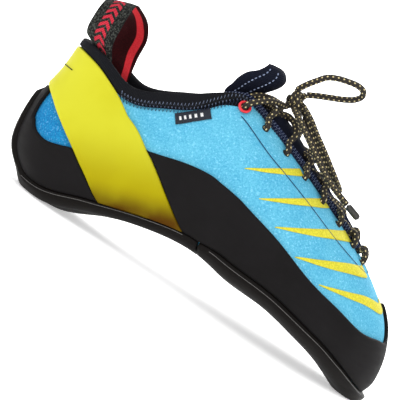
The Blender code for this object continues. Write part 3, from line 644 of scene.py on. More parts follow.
def tube(name, points, radius, sides, material):
    """A round tube along a path, with its ends drawn in."""
    points = np.asarray(points, float)
    a, b = frames_along(points)
    turn = turns(sides)
    radii = np.broadcast_to(np.asarray(radius, float), len(points))
    rings = (points[:, None, :] + radii[:, None, None] * (
        a[:, None, :] * np.cos(turn)[None, :, None] + b[:, None, :] * np.sin(turn)[None, :, None]))
    travel = lengths_along(points)
    uvs = np.stack(np.broadcast_arrays(travel[:, None], (turn / (2 * math.pi))[None, :]), axis=-1)
    count = len(points)
    faces = grid_faces(count, sides, loop=True)
    faces += [tuple(range(sides))[::-1], tuple((count - 1) * sides + j for j in range(sides))]
    return add_mesh(name, rings.reshape(-1, 3), faces, [material], uvs.reshape(-1, 2))


def smooth_route(points, spacing):
    points = np.array(points, float)
    travel = lengths_along(points)
    count = max(2, int(round(travel[-1] / spacing)) + 1)
    return spline(travel, points, np.linspace(0, travel[-1], count))


class Nodes:
    """Short names for the nodes of one material."""

    def __init__(self, name, roughness=0.6):
        self.material = bpy.data.materials.new(name)
        self.material.use_nodes = True
        self.tree = self.material.node_tree
        self.shader = self.tree.nodes["Principled BSDF"]
        self.put("Roughness", roughness)

    def put(self, socket, value, node=None):
        """Set or link an input, of the shader when no node is given."""
        target = (node or self.shader).inputs[socket]
        if isinstance(value, bpy.types.NodeSocket):
            self.tree.links.new(value, target)
        elif isinstance(value, tuple) and len(value) == 3 and target.type == "RGBA":
            target.default_value = (*value, 1)
        else:
            target.default_value = value
        return self

    def add(self, kind, **settings):
        node = self.tree.nodes.new(kind)
        for key, value in settings.items():
            setattr(node, key, value)
        return node

    def math(self, operation, a, b=0.0, c=0.0):
        node = self.add("ShaderNodeMath", operation=operation)
        for socket, value in enumerate((a, b, c)):
            self.put(socket, value, node)
        return node.outputs[0]

    def plus(self, a, b):
        return self.math("ADD", a, b)

    def minus(self, a, b):
        return self.math("SUBTRACT", a, b)

    def times(self, a, b):
        return self.math("MULTIPLY", a, b)

    def place(self, kind="Object"):
        return self.add("ShaderNodeTexCoord").outputs[kind]

    def split(self, vector):
        node = self.add("ShaderNodeSeparateXYZ")
        self.put(0, vector, node)
        return node.outputs

    def noise(self, scale, detail, stretch=None):
        vector = self.place()
        if stretch:
            mapping = self.add("ShaderNodeMapping")
            self.put("Vector", vector, mapping)
            self.put("Scale", stretch, mapping)
            vector = mapping.outputs[0]
        node = self.add("ShaderNodeTexNoise")
        self.put("Vector", vector, node).put("Scale", scale, node).put("Detail", detail, node)
        return node.outputs["Fac"]

    def ramp(self, value, low, high):
        node = self.add("ShaderNodeMapRange", interpolation_type="SMOOTHSTEP")
        self.put("Value", value, node).put("From Min", low, node).put("From Max", high, node)
        return node.outputs[0]

    def mix(self, share, a, b):
        node = self.add("ShaderNodeMix", data_type="RGBA")
        self.put(0, share, node)
        for socket, value in ((6, a), (7, b)):
            self.put(socket, value, node)
        return node.outputs[2]

    def color(self, value):
        return self.put("Base Color", value)

    def bump(self, height, strength, distance):
        node = self.add("ShaderNodeBump")
        self.put("Height", height, node).put("Strength", strength, node).put("Distance", distance, node)
        return self.put("Normal", node.outputs[0])


def blue_material(name, light, deep):
    """Suede with short pale fibres."""
    m = Nodes(name, 0.85)
    fine, broad, fleck = m.noise(1150, 4), m.noise(55, 2), m.noise(820, 3)
    shade = m.plus(m.times(m.ramp(fine, 0.36, 0.64), 0.7),
                   m.times(m.ramp(broad, 0.35, 0.7), 0.3))
    tone = m.mix(shade, deep, light)
    pale = m.times(m.ramp(fleck, 0.55, 0.70), 0.55)
    m.color(m.mix(pale, tone, tuple(min(1, 1.15 * c + 0.12) for c in light)))
    m.put("Specular IOR Level", 0.12)
    return m.bump(m.plus(fine, m.times(fleck, 0.5)), 0.45, 0.0004).material


def rubber_material(name, dark, light, roughness):
    """Matt rubber with faint upright scuffs."""
    m = Nodes(name, roughness)
    grain, broad = m.noise(1100, 3), m.noise(38, 3)
    scuff = m.noise(60, 5, stretch=(1.0, 1.0, 6.0))
    dust = m.times(m.ramp(scuff, 0.58, 0.75), 0.12)
    share = m.plus(m.times(broad, 0.6), dust)
    m.color(m.mix(share, dark, light))
    m.put("Roughness", m.plus(roughness - 0.08, m.times(scuff, 0.2)))
    m.put("Specular IOR Level", 0.10)
    return m.bump(grain, 0.16, 0.0002).material


def strap_material():
    """Yellow rubber, with painted shade that makes it browner low down and near black where it runs under
    the sole, and a painted highlight towards the heel's back.
    """
    m = Nodes("strap_rubber", 0.45)
    x, _, z = m.split(m.place())
    broad, grain = m.noise(45, 2), m.noise(1300, 3)
    rise = m.minus(z, m.times(x, 0.36))
    # Painted shade: browner low down, then near black where the strap meets the sole
    tone = m.mix(m.ramp(rise, 0.054, 0.016), (0.53, 0.51, 0.024), (0.35, 0.29, 0.002))
    tone = m.mix(m.ramp(rise, 0.021, 0.004), tone, (0.078, 0.030, 0.0004))
    # Painted highlight: lighter towards the heel's back
    tone = m.mix(m.times(m.ramp(x, 0.010, -0.030), 0.4), tone, (0.60, 0.59, 0.050))
    tone = m.mix(m.times(m.ramp(broad, 0.45, 0.75), 0.25), tone, (0.44, 0.40, 0.006))
    m.color(tone)
    m.put("Roughness", m.plus(0.42, m.times(grain, 0.14)))
    m.put("Specular IOR Level", 0.05)
    return m.bump(grain, 0.10, 0.0002).material


def knit_material(name, dark, light, pitch):
    """Ribs and courses of a knit, from lengths along and across the piece."""
    m = Nodes(name, 0.9)
    u, v, _ = m.split(m.place("UV"))
    rib = m.math("ABSOLUTE", m.math("SINE", m.times(u, math.pi / pitch)))
    slant = m.times(m.math("PINGPONG", u, pitch), 0.6)
    course = m.math("ABSOLUTE", m.math("SINE", m.times(m.plus(v, slant), math.pi / pitch)))
    fuzz = m.noise(1600, 3)
    height = m.times(rib, m.plus(0.4, m.times(course, 0.6)))
    m.color(m.mix(m.times(m.plus(height, fuzz), 0.42), dark, light))
    m.put("Specular IOR Level", 0.08)
    return m.bump(m.plus(height, m.times(fuzz, 0.4)), 0.6, 0.0004).material


def lace_material():
    """A round braid with cream flecks in staggered rows."""
    m = Nodes("flecked_lace", 0.8)
    u, v, _ = m.split(m.place("UV"))
    rows, step = 5.0, 0.0030
    row = m.times(v, rows)
    odd = m.math("MODULO", m.math("FLOOR", row), 2.0)
    cell = m.plus(m.math("DIVIDE", u, step), m.times(odd, 0.5))
    du = m.times(m.minus(m.math("FRACT", cell), 0.5), step)
    dv = m.times(m.minus(m.math("FRACT", row), 0.5), LACE * math.pi / rows)
    far = m.math("SQRT", m.plus(m.math("POWER", du, 2.0),
                                m.math("POWER", m.times(dv, 1.15), 2.0)))
    fleck = m.ramp(far, 0.00060, 0.00036)
    turn = m.times(v, 2 * math.pi * 4)
    run = m.times(u, 2 * math.pi / 0.0017)
    braid = m.times(m.math("SINE", m.plus(run, turn)),
                   m.math("SINE", m.minus(run, turn)))
    fuzz = m.noise(1800, 3)
    base = m.mix(m.times(fuzz, 0.9), (0.004, 0.0026, 0.0014), (0.022, 0.015, 0.008))
    m.color(m.mix(fleck, base, (0.66, 0.54, 0.26)))
    return m.bump(m.plus(braid, m.times(fleck, 0.6)), 0.6, 0.0004).material


def webbing_material():
    """Heather webbing with a woven band of plain red blocks along its middle."""
    m = Nodes("heather_webbing", 0.9)
    u, v, _ = m.split(m.place("UV"))
    speck = m.noise(1100, 3)
    heather = m.mix(m.ramp(speck, 0.45, 0.62), (0.006, 0.006, 0.006), (0.048, 0.052, 0.046))
    middle, half = 0.0090, 0.0036
    across = m.math("ABSOLUTE", m.minus(v, middle))
    band = m.ramp(across, half, half - 0.0004)
    cell = m.math("FRACT", m.math("DIVIDE", m.plus(u, m.times(across, 0.9)), 0.0046))
    block = m.ramp(m.math("ABSOLUTE", m.minus(cell, 0.5)), 0.30, 0.24)
    weave = m.math("ABSOLUTE", m.math("SINE", m.times(u, math.pi / 0.0009)))
    red = m.mix(m.ramp(weave, 0.2, 0.7), (0.20, 0.006, 0.014), (0.60, 0.030, 0.055))
    m.color(m.mix(m.times(m.times(band, block), 0.92), heather, red))
    m.put("Specular IOR Level", 0.15)
    return m.bump(m.plus(weave, speck), 0.5, 0.0003).material


def red_material():
    """The webbing's back: red, painted dark as shade inside the loop, with a painted lit strip of bright
    red along one edge.
    """
    m = Nodes("red_webbing", 0.85)
    _, v, _ = m.split(m.place("UV"))
    speck = m.noise(1300, 3)
    first, last = PAINTED_LIT_STRIP
    painted_lit_strip = m.times(m.ramp(v, first, first + 0.0005), m.ramp(v, last, last - 0.0005))
    # Painted shade: dark red inside the loop. Painted light: the bright red strip where light reaches
    dark = m.mix(speck, (0.006, 0.001, 0.001), (0.055, 0.003, 0.005))
    bright = m.mix(speck, (0.66, 0.016, 0.028), (0.95, 0.060, 0.075))
    m.color(m.mix(painted_lit_strip, dark, bright))
    m.put("Specular IOR Level", 0.15)
    return m.bump(speck, 0.5, 0.0003).material


def plain_material(name, dark, light, roughness, scale=900.0, bump=0.2, glow=0.0):
    """Two close tones in a fine grain."""
    m = Nodes(name, roughness)
    m.put("Emission Color", light).put("Emission Strength", glow)
    grain = m.noise(scale, 3)
    m.color(m.mix(m.ramp(grain, 0.35, 0.65), dark, light))
    return m.bump(grain, bump, 0.0002).material


M = {
    "blue": blue_material("blue_upper", (0.132, 0.480, 0.650), (0.062, 0.335, 0.530)),
    "window": blue_material("blue_heel", (0.016, 0.250, 0.500), (0.006, 0.130, 0.340)),
    "lining": plain_material("dark_lining", (0.010, 0.010, 0.014), (0.030, 0.030, 0.038), 0.9),
    "strap": strap_material(),
    "rand": rubber_material("rand_rubber", (0.0040, 0.0034, 0.0034), (0.0120, 0.0108, 0.0120), 0.66),
    "sole": rubber_material("sole_rubber", (0.0024, 0.0016, 0.0012), (0.0085, 0.0066, 0.0055), 0.55),
    "cuff": knit_material("cuff_knit", (0.0026, 0.0028, 0.0035), (0.016, 0.017, 0.021), 0.0009),
    "binding": knit_material("navy_binding", (0.004, 0.006, 0.018), (0.018, 0.024, 0.060), 0.0008),
    "tongue": knit_material("navy_mesh", (0.0020, 0.0025, 0.0060), (0.012, 0.015, 0.030), 0.0012),
    "insole": plain_material("insole_fabric", (0.030, 0.030, 0.034), (0.060, 0.060, 0.066), 0.9),
    "lace": lace_material(),
    "web": webbing_material(),
    "red": red_material(),
    "pale_thread": plain_material("pale_thread", (0.13, 0.17, 0.28), (0.30, 0.36, 0.52), 0.8),
    "navy_thread": plain_material("navy_thread", (0.006, 0.012, 0.035), (0.016, 0.030, 0.080), 0.8),
    "bar": plain_material("yellow_print", (0.52, 0.47, 0.012), (0.68, 0.62, 0.028), 0.8, 1100.0, 0.3),
    "seam": plain_material("seam_shadow", (0.004, 0.030, 0.090), (0.008, 0.050, 0.130), 0.9),
    "slit": plain_material("slit_shadow", (0.010, 0.009, 0.002), (0.020, 0.018, 0.004), 0.9),
    # A painted highlight along the sole's upper edge
    "gleam": plain_material("painted_edge_highlight", (0.060, 0.058, 0.056), (0.110, 0.106, 0.102), 0.5),
    "eyelet": plain_material("red_eyelet", (0.62, 0.012, 0.022), (0.78, 0.024, 0.036), 0.35, 300.0, 0.05),
    # Painted shade inside the eyelets' holes
    "hole": plain_material("eyelet_hole_shade", (0.002, 0.002, 0.003), (0.005, 0.005, 0.006), 0.9),
    "aglet": plain_material("aglet_film", (0.006, 0.005, 0.004), (0.016, 0.014, 0.010), 0.3, 200.0, 0.05),
    "tag_dark": plain_material("tag_weave", (0.006, 0.008, 0.014), (0.014, 0.018, 0.030), 0.9, 1500.0, 0.4),
    "tag_pale": plain_material("tag_weave_pale", (0.60, 0.60, 0.60), (0.80, 0.80, 0.80), 0.8, 1500.0, 0.4),
    "floor": plain_material("pale_floor", (0.97, 0.97, 0.97), (0.98, 0.98, 0.98), 0.9, 40.0, 0.0, 0.45),
}


def add_camera():
    away = Vector((math.sin(CAMERA_YAW) * math.cos(CAMERA_RISE),
                   -math.cos(CAMERA_YAW) * math.cos(CAMERA_RISE), math.sin(CAMERA_RISE)))
    data = bpy.data.cameras.new("camera")
    data.sensor_width = SENSOR
    data.lens = SENSOR * CAMERA_AWAY / VIEW_WIDTH
    camera = bpy.data.objects.new("camera", data)
    camera.location = VIEW_CENTRE + CAMERA_AWAY * away
    camera.rotation_mode = "QUATERNION"
    level = (-away).to_track_quat("-Z", "Y")
    camera.rotation_quaternion = level @ Quaternion((0, 0, 1), CAMERA_ROLL)
    bpy.context.scene.collection.objects.link(camera)
    bpy.context.scene.camera = camera


def add_light(name, spot, target, size, power):
    data = bpy.data.lights.new(name, "AREA")
    data.size = size
    data.energy = power
    light = bpy.data.objects.new(name, data)
    light.location = spot
    light.rotation_mode = "QUATERNION"
    light.rotation_quaternion = (Vector(target) - Vector(spot)).to_track_quat("-Z", "Y")
    bpy.context.scene.collection.objects.link(light)


def add_stage():
    """A pale floor that curves up into a backdrop far behind the shoe."""
    near, bend, depth, top, half = -4.0, 0.8, 3.0, 4.0, 6.0
    profile = [(near, 0.0), (depth, 0.0)]
    profile += [(depth + bend * math.sin(a), bend * (1 - math.cos(a)))
                for a in np.linspace(0, math.pi / 2, 13)[1:]]
    profile.append((depth + bend, top))
    grid = np.array([[(x, y, z) for y, z in profile] for x in (-half, half)])
    floor = add_mesh("floor", grid.reshape(-1, 3), grid_faces(*grid.shape[:2]), [M["floor"]])
    world = bpy.data.worlds.new("soft_white")
    world.use_nodes = True
    background = world.node_tree.nodes["Background"]
    background.inputs["Color"].default_value = (1, 1, 1, 1)
    background.inputs["Strength"].default_value = WORLD_STRENGTH
    bpy.context.scene.world = world
    bpy.context.scene.view_settings.view_transform = "Standard"
    for name, (spot, target, size, power) in LIGHTS.items():
        add_light(name, spot, target, size, power)


def dress(obj, *nodes, slot):
    """Say what a piece rides on and which nodes it replaces. The slot is not used."""
    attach(obj, "root")
    if nodes:
        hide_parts(*nodes)


def rim_point(around, away, rise):
    """Points beyond the last's top edge, by a rise along its surface."""
    edge = on_last(around, 1.0, away)
    return edge + np.asarray(rise)[..., None] * unit(edge - on_last(around, 0.985, away))


def add_upper():
    """The upper's two faces and its lip, with a darker heel behind the strap."""
    rounds = np.linspace(-1, 1, SKIN_ROUNDS, endpoint=False)
    outer = on_last(*np.meshgrid(rounds, SKIN_LEVELS, indexing="ij"))
    inner = on_last(*np.meshgrid(rounds, SKIN_LEVELS[::-1], indexing="ij"), -UPPER_WALL)
    x, z = outer[..., 0], outer[..., 2]
    along, up, across = SKIN_WAVES
    wave = SKIN_WAVE * np.sin(x * along + z * up) * np.sin(z * across)
    outer[..., 1] += wave * np.sign(outer[..., 1])
    lip = [on_last(rounds, 1.0, -share * UPPER_WALL)[:, None] for share in (0.22, 0.5, 0.78)]
    profile = np.concatenate([outer, *lip, inner], axis=1)
    count = len(SKIN_LEVELS)
    slots = [0] * (count + 2) + [1] * (count + 1)
    upper = swept("upper_skin", profile, [M["blue"], M["lining"], M["window"]], ring=True, slots=slots)
    centres = np.array([p.center[:] for p in upper.data.polygons])
    index = np.array([p.material_index for p in upper.data.polygons])
    heel = centres[:, 2] < np.interp(centres[:, 0], *WINDOW_SHADE.T)
    index[(index == 0) & heel & (centres[:, 0] < WINDOW_SHADE[-1, 0])] = 2
    upper.data.polygons.foreach_set("material_index", index.astype(np.int32))
    dress(upper, "upper", slot="blue_upper")


def edge_profile(columns, width, wall):
    """Shares across a panel and heights over it, with rounded edges."""
    turn = np.linspace(0, math.pi / 2, 5)
    reach = np.clip(PANEL_EDGE / width, 0.0, 0.45)
    rise = wall * np.sin(turn)
    first = reach * (1 - np.cos(turn))
    flat = np.linspace(0, 1, columns + 2)[1:-1]
    middle = reach + (1 - 2 * reach) * flat
    shares = np.concatenate([first, middle, 1 - first[::-1]])
    heights = np.concatenate([rise, np.full(columns, wall), rise[::-1]])
    return shares, heights


def panel(name, low, high, wall, material, columns):
    """A panel on the last between two lines of places, with rounded edges."""
    low, high = np.array(low, float), np.array(high, float)
    widths = np.linalg.norm(on_last(high[:, 0], high[:, 1]) - on_last(low[:, 0], low[:, 1]), axis=1)
    places, heights = [], []
    for a, b, width in zip(low, high, widths):
        shares, rise = edge_profile(columns, max(width, 1e-4), wall)
        places.append(a + (b - a) * shares[:, None])
        heights.append(PANEL_FIT + rise)
    places, heights = np.array(places), np.array(heights)
    top = on_last(places[..., 0], places[..., 1], heights)
    under = on_last(places[..., 0], places[..., 1], PANEL_FIT - 0.0002)[:, ::-1]
    return swept(name, np.concatenate([top, under], axis=1), [material])


def dense(line, count):
    """A line of places with more points."""
    line = np.asarray(line, float)
    travel = lengths_along(line)
    return spline(travel, line, np.linspace(0, travel[-1], count))


def strap_lines():
    """The strap's rear and front edges, from sole to sole over the heel's back."""
    lines = []
    for rows, height in ((STRAP_REAR, STRAP_REAR_HEIGHT), (STRAP_FRONT, STRAP_FRONT_HEIGHT)):
        outer, inner = seen_line(rows, -1), seen_line(rows, 1)
        outer[-1], inner[-1] = (outer[-1][0], SEAM), (inner[-1][0], SEAM)
        middle = [(0.0, heel_level(HEEL_HEIGHT * height))]
        lines.append(line_through(outer[::-1] + middle + inner, STRAP_STEPS))
    return lines


def level_on(line, around):
    """The level at which a line of places passes each round."""
    order = np.argsort(line[:, 0])
    return np.interp(around, line[order, 0], line[order, 1])


def add_heel_rands(lines):
    """The rubber behind the strap, from the tail's edge round the heel's window."""
    for name, sign in (("outer", -1), ("inner", 1)):
        window = np.abs(seen_line(WINDOW_LOW, sign))[1:]
        end = abs(lines[0][0 if sign < 0 else -1][0])
        rounds = np.linspace(HEEL_RAND_START, end - RUBBER_GAP, RAND_STEPS)
        low = np.interp(rounds, *np.transpose(TAIL_EDGE), right=0) + RUBBER_FOOT
        strap = level_on(lines[0], sign * rounds) - RUBBER_GAP
        first = window[0, 0] - WINDOW_LEAD
        start = (first, float(level_on(lines[0], sign * np.array([first]))[0]))
        knots = np.concatenate([[start], window])
        top = spline(knots[:, 0], knots[:, 1:], np.maximum(rounds, first))[:, 0]
        high = np.minimum(np.where(rounds < first, 1.0, top), strap)
        high = np.maximum(high, low + RUBBER_FOOT)
        rand = panel("heel_rand_" + name, np.stack([sign * rounds, low], 1),
                     np.stack([sign * rounds, high], 1), RAND_WALL, M["rand"], columns=12)
        dress(rand, "rand_heel_" + name, slot="rand_rubber")


def add_front_rand(lines):
    """The rubber from the strap round the toes and back to the strap."""
    outer, inner = seen_line(RAND_TOP_OUTER, -1), seen_line(RAND_TOP_INNER, 1)
    places = inner + [(1.0, RAND_TOP_TIP)] + [(2 + r, v) for r, v in outer]
    rounds = np.linspace(inner[-1][0], 2 + outer[0][0], RAND_STEPS)
    local = (rounds + 1) % 2 - 1
    strap = level_on(lines[1], local) + RUBBER_GAP
    ahead = np.abs(local) > np.where(local < 0, -lines[1][0][0], lines[1][-1][0])
    low = np.where(ahead, RUBBER_FOOT, np.maximum(strap, RUBBER_FOOT))
    high = np.maximum(line_by_round(places, rounds), low + RUBBER_GAP)
    rand = panel("front_rand", np.stack([rounds, low], 1), np.stack([rounds, high], 1),
                 RAND_WALL, M["rand"], columns=14)
    dress(rand, "rand_front", slot="rand_rubber")


def add_sole(name, node, rounds, climb, wall):
    """A sole from its middle to its edge at both sides, with a rounded rim."""
    flat = np.linspace(-1, 1, SOLE_POINTS)
    side = (1 + climb)[:, None] * np.sign(flat) * np.abs(flat) ** SOLE_CROWDING
    around = np.abs(rounds)[:, None] * np.where(side < 0, -1.0, 1.0)
    level = np.abs(side) - 1
    along, _ = place(around, level)
    left = np.abs(side[:, -1:]) - np.abs(side)
    round_off = np.sqrt(np.clip(1 - (1 - np.clip(left / SOLE_RIM, 0, 1)) ** 2, 0, 1))
    far = PANEL_FIT + wall(along) * (SOLE_RIM_WALL + (1 - SOLE_RIM_WALL) * round_off)
    outer = on_last(around, level, far)
    inner = on_last(around, level, PANEL_FIT)[:, ::-1]
    outer[..., 2] = np.maximum(outer[..., 2], 0)
    dress(swept(name, np.concatenate([outer, inner], axis=1), [M["sole"]]), node, slot="sole_rubber")


def round_of(along):
    """The round of a share of the last's length."""
    return math.acos(1 - 2 * along) / math.pi


def front_sole_wall(along):
    grown = np.clip((along - FRONT_SOLE_START) / FRONT_SOLE_BEVEL, 0, 1)
    return ARCH_SOLE + (FRONT_SOLE - ARCH_SOLE) * grown


def add_soles():
    knots, edges = np.array(TAIL_EDGE).T
    back = np.concatenate([np.linspace(0.001, knots[-1], 40),
                           np.linspace(knots[-1] + 0.005, round_of(HEEL_SOLE_END), 60)])
    tail = spline(knots, edges[:, None], back)[:, 0] * (back < knots[-1])
    add_sole("heel_sole", "outsole_heel", back, np.maximum(tail, 0), sole_wall)
    front = np.linspace(round_of(FRONT_SOLE_START), 0.999, 110)
    add_sole("front_sole", "outsole_front", front, np.zeros(len(front)), front_sole_wall)


def add_sole_lines():
    """The fine bright line where light catches the sole's upper edge."""
    pieces = []
    for name, wall in (("heel", sole_wall), ("front", front_sole_wall)):
        for sign in (-1, 1):
            rounds = np.linspace(*GLEAM_ROUNDS[name], GLEAM_STEPS)
            along, _ = place(rounds, GLEAM_LEVEL)
            line = np.stack([sign * rounds, np.full(GLEAM_STEPS, GLEAM_LEVEL)], axis=1)
            pieces.append(ribbon("gleam", line, GLEAM_HALF, PANEL_FIT + 0.98 * wall(along), M["gleam"]))
    dress(joined("sole_edge_highlight", pieces), slot="sole_rubber")


def add_strap(lines):
    strap = panel("strap", lines[0], lines[1], STRAP_WALL, M["strap"], columns=18)
    dress(strap, "heel_strap", slot="yellow_rubber")


def cuff_low(rounds, lines):
    """The cuff's lower edge, which rises to the top edge at its two ends."""
    low = np.maximum(CUFF_LEVEL, level_on(lines[1], rounds) + 0.7 * SEAM)
    fade = np.clip((np.abs(rounds) - CUFF_TAIL + CUFF_FADE) / CUFF_FADE, 0, 1)
    return low + (CUFF_TOP - low) * fade**2 * (3 - 2 * fade)


def add_cuff(lines):
    """The knitted collar: a band folded over the top edge of the upper."""
    rounds = np.linspace(-CUFF_TAIL, CUFF_TAIL, CUFF_STEPS)
    low = cuff_low(rounds, lines)
    full = PANEL_FIT + CUFF_WALL
    columns = [on_last(rounds, low + (1 - low) * share, full * away) for share, away in CUFF_OUTSIDE]
    inside = UPPER_WALL + CUFF_LINING
    for turn in np.linspace(0.15, 0.85, 6):
        angle = turn * math.pi
        away = (full - inside) / 2 + (full + inside) / 2 * math.cos(angle)
        columns.append(rim_point(rounds, away, CUFF_FOLD * math.sin(angle) * np.ones(len(rounds))))
    for level, away in CUFF_INSIDE:
        columns.append(on_last(rounds, level, -UPPER_WALL - CUFF_LINING * away))
    columns.append(on_last(rounds, CUFF_INSIDE[-1][0], -UPPER_WALL / 2))
    cuff = swept("cuff", np.stack(columns, axis=1), [M["cuff"]])
    dress(cuff, "collar_cuff", slot="black_knit")


def crown_share(along):
    """How far the tongue and the lace bulge out of the throat: full at the top, flat in front."""
    return float(np.interp(along, (EYELETS[2], EYELETS[-1]), (1.0, FRONT_CROWN)))


def tongue_rows():
    """The tongue's middle sheet, from the toes up the throat to its free top."""
    rows = []
    for along, tuck in zip(TONGUE_THROAT, TONGUE_TUCK):
        tucks = np.linspace(tuck, 1, 3)
        outer = on_last(-round_of(along), tucks, -UPPER_WALL - 2 * FIT)
        inner = on_last(round_of(along), tucks, -UPPER_WALL - 2 * FIT)
        ends = np.array([outer[1], outer[2], inner[2], inner[1]])
        bridge = spline((0.0, 0.2, 0.8, 1.0), ends, np.linspace(0.2, 0.8, 5))
        crown = TONGUE_CROWN * crown_share(along)
        bridge = bridge + crown * TONGUE_ARCH[:, None] * THROAT_UP
        rows.append(np.concatenate([outer[:2], bridge, inner[1::-1]]))
    spread = np.linspace(-1, 1, 9)
    for front, height, half, sweep, drop in TONGUE_TOP:
        x = LENGTH * (front - sweep * np.abs(spread) ** TONGUE_CURVE)
        y = BALL_WIDTH * (TONGUE_LEAN + half * np.sin(spread * math.pi / 2))
        z = INSTEP_HEIGHT * (height - drop * spread**2)
        rows.append(np.stack([x, y, z], axis=-1))
    return np.array(rows)


def add_tongue():
    """The padded tongue. Returns its outer face for the stitches."""
    coarse = tongue_rows()
    rows, columns = len(coarse), coarse.shape[1]
    at = np.linspace(0, rows - 1, TONGUE_ROWS)
    grid = spline(np.arange(rows), coarse.reshape(rows, -1), at).reshape(TONGUE_ROWS, columns, 3)
    across = np.linspace(0, columns - 1, TONGUE_COLUMNS)
    grid = np.stack([spline(np.arange(columns), row, across) for row in grid])
    normal = unit(np.cross(np.gradient(grid, axis=1), np.gradient(grid, axis=0)))
    last = rows - 1
    knots = (0, 3, len(TONGUE_THROAT) - 1, len(TONGUE_THROAT) + 1, last - 1, last)
    thin = TONGUE_WALL / 2
    walls = np.interp(at, knots, (thin, TONGUE_WALL, TONGUE_WALL, TONGUE_PADDING, TONGUE_PADDING, thin))
    spread = np.linspace(-1, 1, TONGUE_COLUMNS)
    walls = walls[:, None] * (1 - TONGUE_TAPER * spread[None, :] ** 2)
    rim = np.clip((1 - np.abs(spread)) / 0.10, 0, 1)
    end = np.clip((last - at) / 0.9, 0, 1)
    soft = np.sqrt(1 - (1 - rim[None, :]) ** 2) * np.sqrt(1 - (1 - end[:, None]) ** 2)
    outer = grid - normal * (0.45 * walls * (1 - soft))[..., None]
    inner = grid - normal * (walls * (0.55 + 0.45 * soft))[..., None]
    profile = np.concatenate([outer, inner[:, ::-1]], axis=1)
    tongue = swept("tongue_pad", profile, [M["tongue"]])
    dress(tongue, "tongue", slot="navy_tongue")
    return outer


def add_pull_loop():
    """Webbing from one side of the collar over to the other, seen from both faces."""
    base = {}
    for sign in (-1, 1):
        away = -UPPER_WALL - LOOP_WALL / 2 - LOOP_CLEARANCE
        rear, front = (on_last(sign * r, LOOP_LEVELS, away) for r in LOOP_ROUNDS[sign])
        base[sign] = np.concatenate([rear, front], axis=1)
    scale = (LENGTH, BALL_WIDTH, HEEL_HEIGHT) * 2
    rows = np.concatenate([base[-1], np.array(LOOP_TOP) * scale, base[1][::-1]])
    middle = (rows[:, :3] + rows[:, 3:]) / 2
    travel = lengths_along(middle)
    line = spline(travel, rows, np.linspace(0, travel[-1], LOOP_STEPS))
    shares = np.linspace(0, 1, LOOP_POINTS)[None, :, None]
    sheet = line[:, None, :3] * (1 - shares) + line[:, None, 3:] * shares
    normal = unit(np.cross(np.gradient(sheet, axis=0), np.gradient(sheet, axis=1)))
    flat = np.minimum(1, np.sqrt(np.sin(np.pi * np.clip(shares, 0.02, 0.98))) * 1.15)
    half = LOOP_WALL / 2 * flat
    profile = np.concatenate([sheet - normal * half, (sheet + normal * half)[:, ::-1]], axis=1)
    slots = [0] * (LOOP_POINTS - 1) + [2] + [1] * (LOOP_POINTS - 1) + [2]
    loop = swept("pull_loop_web", profile, [M["web"], M["red"], M["cuff"]], slots=slots)
    dress(loop, "pull_loop", slot="loop_webbing")


def eyelet_round(i):
    return round_of(EYELETS[i])


def eyelet_frame(around):
    """An eyelet's centre, its outward axis and two directions across it."""
    centre = on_last(around, EYELET_LEVEL, HOLE_LIFT)
    axis = unit(centre - on_last(around, EYELET_LEVEL, -UPPER_WALL))
    across = unit(np.cross(axis, (0, 0, 1.0)))
    return centre, axis, across, np.cross(axis, across)


def eyelet_hole_shade(around):
    # A dark disc of painted shade in the hole
    centre, axis, a, b = eyelet_frame(around)
    turn = turns(HOLE_SIDES)
    disc = centre + EYELET_HOLE / 2 * (np.cos(turn)[:, None] * a + np.sin(turn)[:, None] * b)
    points = np.stack([disc, disc - HOLE_DEPTH * axis])
    return swept("hole", points, [M["hole"]])


def eyelet_rim(name, around):
    centre, axis, a, b = eyelet_frame(around)
    major, minor = (EYELET_HOLE + EYELET_RIM) / 2, EYELET_RIM / 2
    seat = centre + axis * (minor + FIT - HOLE_LIFT)
    turn, roll = turns(48), turns(16)
    out = np.cos(turn)[:, None] * a + np.sin(turn)[:, None] * b
    ring = (seat + out[:, None, :] * (major + minor * np.cos(roll))[None, :, None]
            + axis * (minor * np.sin(roll))[None, :, None])
    rim = swept("eyelet_rim_" + name, ring, [M["eyelet"]], ring=True)
    dress(rim, "eyelet_" + name, slot="red_eyelet")


def add_eyelets():
    """A dark disc of painted shade in each eyelet's hole, and a red rim on the top ones."""
    holes = []
    for sign, name in ((-1, "outer"), (1, "inner")):
        holes += [eyelet_hole_shade(sign * eyelet_round(i)) for i in range(len(EYELETS))]
        eyelet_rim(name, sign * eyelet_round(0))
    dress(joined("eyelet_hole_shades", holes), slot="lace_cord")


LACE_OVER = LACE / 2 + LACE_CLEARANCE
LACE_UNDER = -UPPER_WALL - 0.4 * LACE
KNOT_CENTRE = np.array(KNOT) * LACE_SCALE


def crossing(i, sign, first):
    """Points from an eyelet over the tongue to the next one up on the other side."""
    here, there = sign * eyelet_round(i), -sign * eyelet_round(i - 1)
    up = crown_share(EYELETS[i]) * THROAT_UP
    lip = on_last(here, 1.0, LACE_OVER) + LIP_RISE * THROAT_UP
    brow = on_last(here, 1.0, 0.4 * LACE_OVER) + BROW_RISE * up
    far_brow = on_last(there, 1.0, -1.6 * LACE_OVER) + FAR_BROW_RISE * up
    middle = (brow + far_brow) / 2 + MIDDLE_RISES[(i + (first > 0)) % 2] * up
    middle = middle + KNOT_PULL.get((i, first), 0.0) * (KNOT_CENTRE - middle)
    return [lip, brow, middle, far_brow,
            on_last(there, 0.975, LACE_UNDER), on_last(there, EYELET_LEVEL, LACE_UNDER)]


